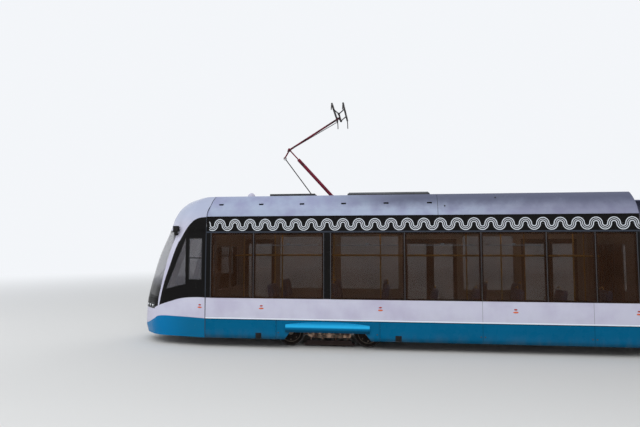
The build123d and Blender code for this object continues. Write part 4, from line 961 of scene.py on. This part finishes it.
# Wiper and display.
# One pressed-steel wiper hangs on a hub below the windscreen, painted black.
# A blank route display hangs behind the glass at each end, in a black case with a lip under it.
WIPER_FOOT, WIPER_TIP, BLADE_LOW, BLADE_HIGH = (0.22, 1.075), (-0.42, 1.92), (-0.56, 1.50), (-0.30, 2.33)
WIPER_HUB = ((0, 0.0), (0, 0.024), (0.03, 0.022), (0.036, 0.014), (0.036, 0.0))
DISPLAY_LOW, DISPLAY_HIGH, DISPLAY_HALF, DISPLAY_DEPTH = RAIL_TOP + 2.42, RAIL_TOP + 2.64, 0.58, 0.05
display_black = Finish("display_black", 0.25)
pixels = display_black.cells(90.0, 0.0).under(0.30, 0.1)
display_black.paint(pixels.mix((0.006, 0.006, 0.007), (0.022, 0.020, 0.016)))


def tube(path, radius, sides=8):
    """Rings along a path, bridged into a round bar that is closed at both ends."""
    path = [Vector(point) for point in path]
    last = len(path) - 1
    mesh, aside, rings = bmesh.new(), None, []
    for number, point in enumerate(path):
        heading = (path[min(number + 1, last)] - path[max(number - 1, 0)]).normalized()
        aside = (heading.orthogonal() if aside is None else aside - heading * aside.dot(heading)).normalized()
        place = Matrix.Translation(point) @ Matrix((aside.cross(heading), aside, heading)).transposed().to_4x4()
        ring = bmesh.ops.create_circle(
            mesh, cap_ends=number in (0, last), segments=sides, radius=radius, matrix=place
        )["verts"]
        rings.append(list({edge for vert in ring for edge in vert.link_edges}))
    for ring, following in zip(rings, rings[1:]):
        bmesh.ops.bridge_loops(mesh, edges=ring + following)
    bmesh.ops.recalc_face_normals(mesh, faces=mesh.faces[:])
    return mesh


def on_screen(start, end, share, out):
    """A place on a line over the windscreen, lifted off the glass."""
    across, level = Vector(start).lerp(Vector(end), share)
    return Vector((nose_x(abs(across), level) + out, across, level + RAIL_TOP))


lifts = [0.012 + 0.018 * math.sin(math.pi * step / 8) for step in range(9)]
arm = [on_screen(WIPER_FOOT, WIPER_TIP, step / 8, lift) for step, lift in enumerate(lifts)]
blade = [on_screen(BLADE_LOW, BLADE_HIGH, step / 10, 0.012) for step in range(11)]
wiper = [
    tube(arm, 0.007), tube(blade, 0.0055),
    turned(WIPER_HUB, on_screen(WIPER_FOOT, WIPER_TIP, 0, -0.006), (1, 0, 0.25), 16),
    tube([arm[-1], arm[-1] + Vector((0.004, 0, 0.001))], 0.014, 10),
]
place_piece("screen_wiper", gather(wiper), "front_section", door_paint)
display_x = nose_x(DISPLAY_HALF + 0.02, DISPLAY_HIGH - RAIL_TOP) - 0.13
display_case = [
    box(display_x, display_x + DISPLAY_DEPTH, -DISPLAY_HALF, DISPLAY_HALF, DISPLAY_LOW, DISPLAY_HIGH, 0.006),
    box(
        display_x - 0.02, display_x + 0.075, -DISPLAY_HALF - 0.02, DISPLAY_HALF + 0.02,
        DISPLAY_LOW - 0.03, DISPLAY_LOW - 0.012, 0.004,
    ),
]
both_ends("display", display_case, display_black)


# Cab sides.
# Rubber channels hold the sliding pane with its middle rail, and the quarter pane.
# A beige trim lines the screen pillar, and black camera heads hang from the arms at the dome's foot.
CAMERA_X, CAMERA_Y, CAMERA_Z = 12.655, 1.1075, RAIL_TOP + 2.65
CAMERA_DRUM = (
    (0.004, 0.0), (0.004, 0.030), (-0.004, 0.040), (-0.012, 0.043), (-0.070, 0.043), (-0.084, 0.036),
    (-0.090, 0.020), (-0.091, 0.0),
)
CAMERA_EYE = (
    (0.004, 0.0), (0.004, 0.026), (-0.012, 0.028), (-0.016, 0.024), (-0.008, 0.020), (-0.012, 0.010), (-0.013, 0.0),
)
EYES = ((12.590, 2.69), (12.590, 2.75), (12.616, 2.605))
pillar_beige = mottled("pillar_beige", (8.0,), (0.58, 0.36, 0.24), (0.70, 0.46, 0.32), 0.6)


def strip(start, end, width, depth, thick):
    """A flat bar on the cab's tapering side, between two (x, level) places."""
    start, end = Vector(start), Vector(end)
    run = (end - start).normalized()
    off = Vector((-run.y, run.x)) * width / 2
    outline = [(place.x, place.y + RAIL_TOP) for place in (start - off, end - off, end + off, start + off)]
    onto_side = Matrix.Translation((0, NOSE_HALF + SIDE_TAPER * NOSE_BACK, 0))
    onto_side[1][0] = -SIDE_TAPER
    return slab(outline, -depth, -depth - thick, "y", min(width, thick) * 0.2, onto_side)


def frame_of(points, width, thick):
    return [strip(start, end, width, -0.001, thick) for start, end in zip(points, points[1:] + points[:1])]


pillar_trim = [strip((12.80, 1.32), (12.41, 2.34), 0.13, 0.045, 0.02)]
place_piece("cab_pillar_trim", gather(pillar_trim, BOTH_SIDES), "front_section", pillar_beige)
cameras = [turned(CAMERA_DRUM, (CAMERA_X, CAMERA_Y, CAMERA_Z), (0, 0, 1), 28)]
cameras += [turned(CAMERA_EYE, (x, CAMERA_Y, RAIL_TOP + level), (1, 0, 0), 20) for x, level in EYES]
place_piece("camera_heads", gather(cameras, BOTH_SIDES), "front_section", dark_plastic)
channels = frame_of(SLIDING_PANE, 0.022, 0.012)
channels.append(strip((11.96, 2.03), (12.29, 2.03), 0.03, -0.001, 0.014))
channels += frame_of(QUARTER_PANE, 0.016, 0.010)
place_piece("cab_window_frames", gather(channels, BOTH_SIDES), "front_section", door_rubber)


# Bellows.
# Folded rubber-coated cloth on hoops, clamped to both end frames, closing the gap round the gangway.
BELLOWS_NEAR, BELLOWS_FAR = 1.852, 2.378
BELLOWS_HALF, BELLOWS_FOOT, BELLOWS_TOP, BELLOWS_CORNER = 1.14, RAIL_TOP + 0.215, RAIL_TOP + 2.90, 0.22
FOLDS, FOLD_DEPTH, BELLOWS_THICK = 7, 0.045, 0.006
rubber = mottled("bellows_rubber", (5.0, 6.0), (0.02, 0.02, 0.022), (0.06, 0.06, 0.062), 0.7)
dress(rubber, "front_bellows", "rear_bellows")

# Half of the arch as (y, z, outward y, outward z), then its mirror image
rise = BELLOWS_TOP - BELLOWS_CORNER - BELLOWS_FOOT
arch = [(BELLOWS_HALF, BELLOWS_FOOT + rise * step / 6, 1, 0) for step in range(6)]
for step in range(9):
    out_y, out_z = math.cos(math.pi * step / 16), math.sin(math.pi * step / 16)
    bend = 1 - out_y, 1 - out_z
    arch.append((BELLOWS_HALF - BELLOWS_CORNER * bend[0], BELLOWS_TOP - BELLOWS_CORNER * bend[1], out_y, out_z))
arch += [(-y, z, -out_y, out_z) for y, z, out_y, out_z in arch[::-1]]

for section, direction in (("front", 1), ("rear", -1)):
    mesh = bmesh.new()
    bmesh.ops.create_grid(mesh, x_segments=FOLDS * 8, y_segments=len(arch) - 1, size=1)
    for vert in mesh.verts:
        share = (vert.co.x + 1) / 2
        dip = FOLD_DEPTH * (0.5 + 0.5 * math.cos(math.tau * FOLDS * share))
        y, z, out_y, out_z = arch[round((vert.co.y + 1) / 2 * (len(arch) - 1))]
        x = direction * (BELLOWS_NEAR + share * (BELLOWS_FAR - BELLOWS_NEAR))
        vert.co = (x, y - dip * out_y, z - dip * out_z)
    face_out(mesh, lambda centre: (0, centre.y, centre.z - 1.2))
    bmesh.ops.solidify(mesh, geom=mesh.faces[:], thickness=BELLOWS_THICK)
    bellows = form(f"{section}_gangway_bellows", mesh, rubber, 180)
    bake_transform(bellows)
    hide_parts(f"{section}_bellows")


# Wheel and bogie fittings.
# Resilient wheels have a ring of bolts through the web and a cap over the axle's end.
# Pipes and bolted brackets run along each beam; coil springs, dampers' discs and straps show in the opening.
WHEEL_FACE, BOLT_RING, BOLTS = 0.819, 0.185, 8
HEX = ((0.0, 0.0), (0.0, 0.017), (0.013, 0.017), (0.016, 0.014), (0.016, 0.0))
HUB_CAP = ((0.0, 0.0), (0.0, 0.07), (0.022, 0.066), (0.03, 0.04), (0.03, 0.0))
TYRE_RING = ((0.0, 0.222), (0.008, 0.226), (0.011, 0.235), (0.004, 0.242), (-0.002, 0.242))
PIPES = ((0.225, 0.30), (0.262, 0.34))
PIPE_Y, PIPE_RADIUS, CLIPS_X, BRACKETS_X = 0.935, 0.009, (-0.22, 0.0, 0.22), (-0.43, -0.15, 0.15, 0.43)
COILS_X, COIL_Y, COIL_RADIUS, COIL_WIRE, COIL_TURNS = (-0.09, 0.10, 0.52), 0.895, 0.048, 0.011, 4
COIL_LOW, COIL_HIGH, COIL_STEPS = RAIL_TOP + 0.288, RAIL_TOP + 0.41, 48
COIL_SEAT = ((0.0, 0.0), (0.0, 0.066), (0.012, 0.066), (0.014, 0.06), (0.014, 0.0))
DISCS = ((-0.01, 0.262, 0.055), (-0.46, 0.262, 0.06), (-0.42, 0.33, 0.035))
# Place along the axis in metres, and share of the disc's radius
DISC = ((0.0, 0.0), (0.0, 1.0), (0.02, 1.0), (0.026, 0.9), (0.02, 0.55), (0.03, 0.5), (0.03, 0.0))
STRAPS_X, STRAP = (-0.26, 0.21, 0.29), ((-0.035, 0.20), (0.035, 0.20), (0.02, 0.36), (-0.02, 0.36))
SIDEWAYS = (0, 1, 0)
bolt_steel = mottled("bolt_steel", (30.0,), (0.07, 0.055, 0.045), (0.24, 0.20, 0.16), 0.6, Metallic=0.6)

for name, axle_x in AXLES.items():
    heads = []
    for turn in [math.tau * number / BOLTS for number in range(BOLTS)]:
        centre = (axle_x + BOLT_RING * math.cos(turn), WHEEL_FACE, AXLE_Z + BOLT_RING * math.sin(turn))
        heads.append(turned(HEX, centre, SIDEWAYS, 6))
    heads.append(turned(HUB_CAP, (axle_x, WHEEL_FACE + 0.036, AXLE_Z), SIDEWAYS, 24))
    heads.append(turned(TYRE_RING, (axle_x, WHEEL_FACE, AXLE_Z), SIDEWAYS, 48))
    place_piece(name.replace("wheelset", "wheel_bolts"), gather(heads, BOTH_SIDES), name, bolt_steel, 30)


def coil(x):
    """The wire of an upright spring."""
    path = []
    for step in range(COIL_STEPS + 1):
        turn = math.tau * COIL_TURNS * step / COIL_STEPS
        level = COIL_LOW + (COIL_HIGH - COIL_LOW) * step / COIL_STEPS
        path.append((x + COIL_RADIUS * math.cos(turn), COIL_Y + COIL_RADIUS * math.sin(turn), level))
    return tube(path, COIL_WIRE)


for section, centre in BOGIES.items():
    parts = []
    for level, end in PIPES:
        path = [(-end, 0.87, level + 0.10), (-end, PIPE_Y, level + 0.06), (-end + 0.03, PIPE_Y, level)]
        path += [(end - 0.03, PIPE_Y, level), (end, PIPE_Y, level + 0.05), (end, 0.80, level + 0.08)]
        parts.append(tube([(centre + x, y, RAIL_TOP + z) for x, y, z in path], PIPE_RADIUS))
    for x in CLIPS_X:
        low, high = RAIL_TOP + PIPES[0][0] - 0.016, RAIL_TOP + PIPES[1][0] + 0.016
        parts.append(box(centre + x - 0.012, centre + x + 0.012, 0.922, 0.948, low, high))
    for x in BRACKETS_X:
        for step in (-0.014, 0.014):
            parts.append(turned(HEX, (centre + x + step, 0.925, RAIL_TOP + 0.285), SIDEWAYS, 6))
    fittings = gather(parts, BOTH_SIDES)
    place_piece(f"{section}_bogie_fittings", fittings, f"{section}_bogie", bolt_steel, 30)
    rusty = [coil(centre + x) for x in COILS_X]
    for x in COILS_X:
        for level in (0.278, 0.408):
            rusty.append(turned(COIL_SEAT, (centre + x, COIL_Y, RAIL_TOP + level), (0, 0, 1), 20))
        rusty.append(box(centre + x - 0.05, centre + x + 0.05, 0.80, 0.93, RAIL_TOP + 0.42, RAIL_TOP + 0.436, 0.003))
    for x, level, radius in DISCS:
        disc = [(along, share * radius) for along, share in DISC]
        rusty.append(turned(disc, (centre + x, 0.927, RAIL_TOP + level), SIDEWAYS, 24))
    for x in STRAPS_X:
        strap = [(centre + x + across, RAIL_TOP + level) for across, level in STRAP]
        rusty.append(slab(strap, 0.926, 0.938, "y", 0.003))
    place_piece(f"{section}_bogie_springs", gather(rusty, BOTH_SIDES), f"{section}_bogie", iron, 35)


# Fairing slots, aerial and roof cables.
# Black mesh closes the air slots from behind, and flush plates fill those behind the fairing's joint.
# A white moulded dome covers the aerial, and ribbed conduits run between the roof units in clamps.
SLOTS_X, MIDDLE_SLOTS_X = [11.520 - 0.963 * number for number in range(10)], (1.53, 0.567, -0.396, -1.359)
SLOT_Z, MESH_HALF, MESH_TALL, BLANK_HALF = RAIL_TOP + 3.281, 0.075, 0.045, 0.058
BLANK_SIDE = ((1.1905, 3.256), (1.1790, 3.281), (1.1660, 3.306), (1.140, 3.306), (1.165, 3.256))
SCREWS = ((6.376, 1.2115, 3.20), (5.268, 1.110, 3.38))
DECK = RAIL_TOP + 3.03
DOME = (
    (0.0, 0.0), (0.0, 0.130), (0.014, 0.130), (0.024, 0.102), (0.440, 0.096), (0.450, 0.101), (0.480, 0.101),
    (0.525, 0.092), (0.565, 0.070), (0.590, 0.036), (0.596, 0.0),
)
CONDUITS = ((0.93, 0.020), (0.98, 0.014), (-0.95, 0.024))
CLAMPS = (0.90, 1.01, 0.052), (-0.985, -0.915, 0.062)


def slot_mesh(places):
    return [
        box(x - MESH_HALF, x + MESH_HALF, 1.06, 1.085, SLOT_Z - MESH_TALL, SLOT_Z + MESH_TALL) for x in places
    ]


both_ends("fairing_grilles", slot_mesh(SLOTS_X), display_black, BOTH_SIDES)
on_middle("fairing_grilles", slot_mesh(MIDDLE_SLOTS_X), display_black)
blank_side = [(y, level + RAIL_TOP) for y, level in BLANK_SIDE]
blanks = [slab(blank_side, x - BLANK_HALF, x + BLANK_HALF, "x", 0.0008) for x in SLOTS_X if x < FAIRING_JOINT]
both_ends("fairing_blanks", blanks, roof_paint, BOTH_SIDES)
screws = [turned(HEX, (x, y, RAIL_TOP + level), (0, y, 0.6), 6) for x, y, level in SCREWS]
both_ends("fairing_screws", screws, door_rubber, BOTH_SIDES)
place_piece("aerial_dome", turned(DOME, (10.97, 0.5, DECK), (0, 0, 1), 28), "front_section", body_enamel)
cables = [tube([(x, y, DECK + radius + 0.01) for x in (2.46, 6.4, 11.5)], radius, 10) for y, radius in CONDUITS]
for x in [2.7 + 1.05 * number for number in range(9)]:
    cables += [box(x - 0.02, x + 0.02, y0, y1, DECK, DECK + tall, 0.004) for y0, y1, tall in CLAMPS]
both_ends("roof_conduits", cables, door_rubber)


# Seat pads and handles.
# Each moulded seat has a thin upholstered pad on its cushion and back, and a yellow handle at its shoulder.
PAIR_BACKS, PAIR_SIDES = ((-1.33, 1), (-0.075, -1), (0.075, 1), (1.33, -1)), ((0.475, 0.824), (0.836, 1.185))
LEFT_SEATS, RIGHT_SEATS = (3.0, 3.9, 4.8, 5.7, 6.6), (4.33, 5.15)
SEAT_LOW, SEAT_HIGH, PAD, PAD_EDGE, HANDLE_RISE = 0.79 + RAIL_TOP, 0.85 + RAIL_TOP, 0.03, 0.025, 0.565
CUSHION = ((0.10, -0.010), (0.41, 0.002), (0.41, PAD), (0.10, PAD - 0.01))
BACKREST = ((0.075, 0.08), (0.028, 0.50), (0.028 + PAD, 0.50), (0.075 + PAD, 0.08))
pad_cloth = Finish("seat_pad_cloth", 0.85, Specular_IOR_Level=0.2)
fleck = pad_cloth.noise(45.0, 2.0).over(0.56, 0.06)
cloth_blue = pad_cloth.noise(7.0).mix((0.03, 0.07, 0.17), (0.05, 0.11, 0.24))
pad_cloth.paint(fleck.mix(cloth_blue, (0.24, 0.30, 0.42)), bump=pad_cloth.noise(500.0), distance=0.0006)


def seat_pads(rows):
    """Cushion pad and back pad of each seat."""
    made = []
    for back, facing, y0, y1, level in rows:
        for side in (CUSHION, BACKREST):
            outline = [(back + facing * x, z + level) for x, z in side]
            made.append(slab(outline, y0 + PAD_EDGE, y1 - PAD_EDGE, "y", 0.011))
    return made


def seat_handles(rows):
    """A bent bar on the aisle side of each seat's back."""
    made = []
    for back, facing, y0, y1, level in rows:
        if min(abs(y0), abs(y1)) < 0.8:
            y, top, path = y0 if y0 > 0 else y1, level + HANDLE_RISE, []
            for turn in [math.pi * step / 8 for step in range(9)]:
                lift = math.sin(turn)
                path.append((back - facing * (0.035 + 0.02 * lift), y + 0.085 * math.cos(turn), top + 0.05 * lift))
            made.append(tube(path, 0.010))
    return made


def pairs(centre):
    """Rows of two seats a side, back to back and facing, round a bogie's wheel boxes."""
    rows = []
    for back, facing in PAIR_BACKS:
        for y0, y1 in PAIR_SIDES:
            rows += [(centre + back, facing, y0, y1, SEAT_HIGH), (centre + back, facing, -y1, -y0, SEAT_HIGH)]
    return rows


end_seats = pairs(BOGIES["front"]) + [(x, 1, 0.73, 1.185, SEAT_LOW) for x in LEFT_SEATS]
end_seats += [(x, 1, -1.185, -0.73, SEAT_LOW) for x in RIGHT_SEATS]
middle_seats = pairs(BOGIES["middle"])
pads = both_ends("seat_pads", seat_pads(end_seats), pad_cloth)
pads.append(on_middle("seat_pads", seat_pads(middle_seats), pad_cloth, (Matrix(),)))
both_ends("seat_handles", seat_handles(end_seats), rail_enamel)
on_middle("seat_handles", seat_handles(middle_seats), rail_enamel, (Matrix(),))


# Ceiling lights.
# Long milky diffusers run along both sides of the aisle, let into the ceiling.
LIGHTS_X, MIDDLE_LIGHTS_X, LIGHT_LONG = (2.6, 4.1, 5.6, 7.1, 8.6, 10.1), (-1.5, 0.08), 1.42
LIGHT_IN, LIGHT_OUT, LIGHT_Z, LIGHT_TALL = 0.56, 0.68, RAIL_TOP + 2.672, 0.024
diffuser = Finish("light_diffuser", 0.5, Emission_Strength=2.2)
glow = diffuser.noise(3.0).mix((1.0, 0.62, 0.30), (1.0, 0.70, 0.40))
diffuser.paint(glow, Emission_Color=glow)


def lights(places):
    return [box(x, x + LIGHT_LONG, LIGHT_IN, LIGHT_OUT, LIGHT_Z, LIGHT_Z + LIGHT_TALL, 0.006) for x in places]


both_ends("ceiling_lights", lights(LIGHTS_X), diffuser, BOTH_SIDES)
on_middle("ceiling_lights", lights(MIDDLE_LIGHTS_X), diffuser)
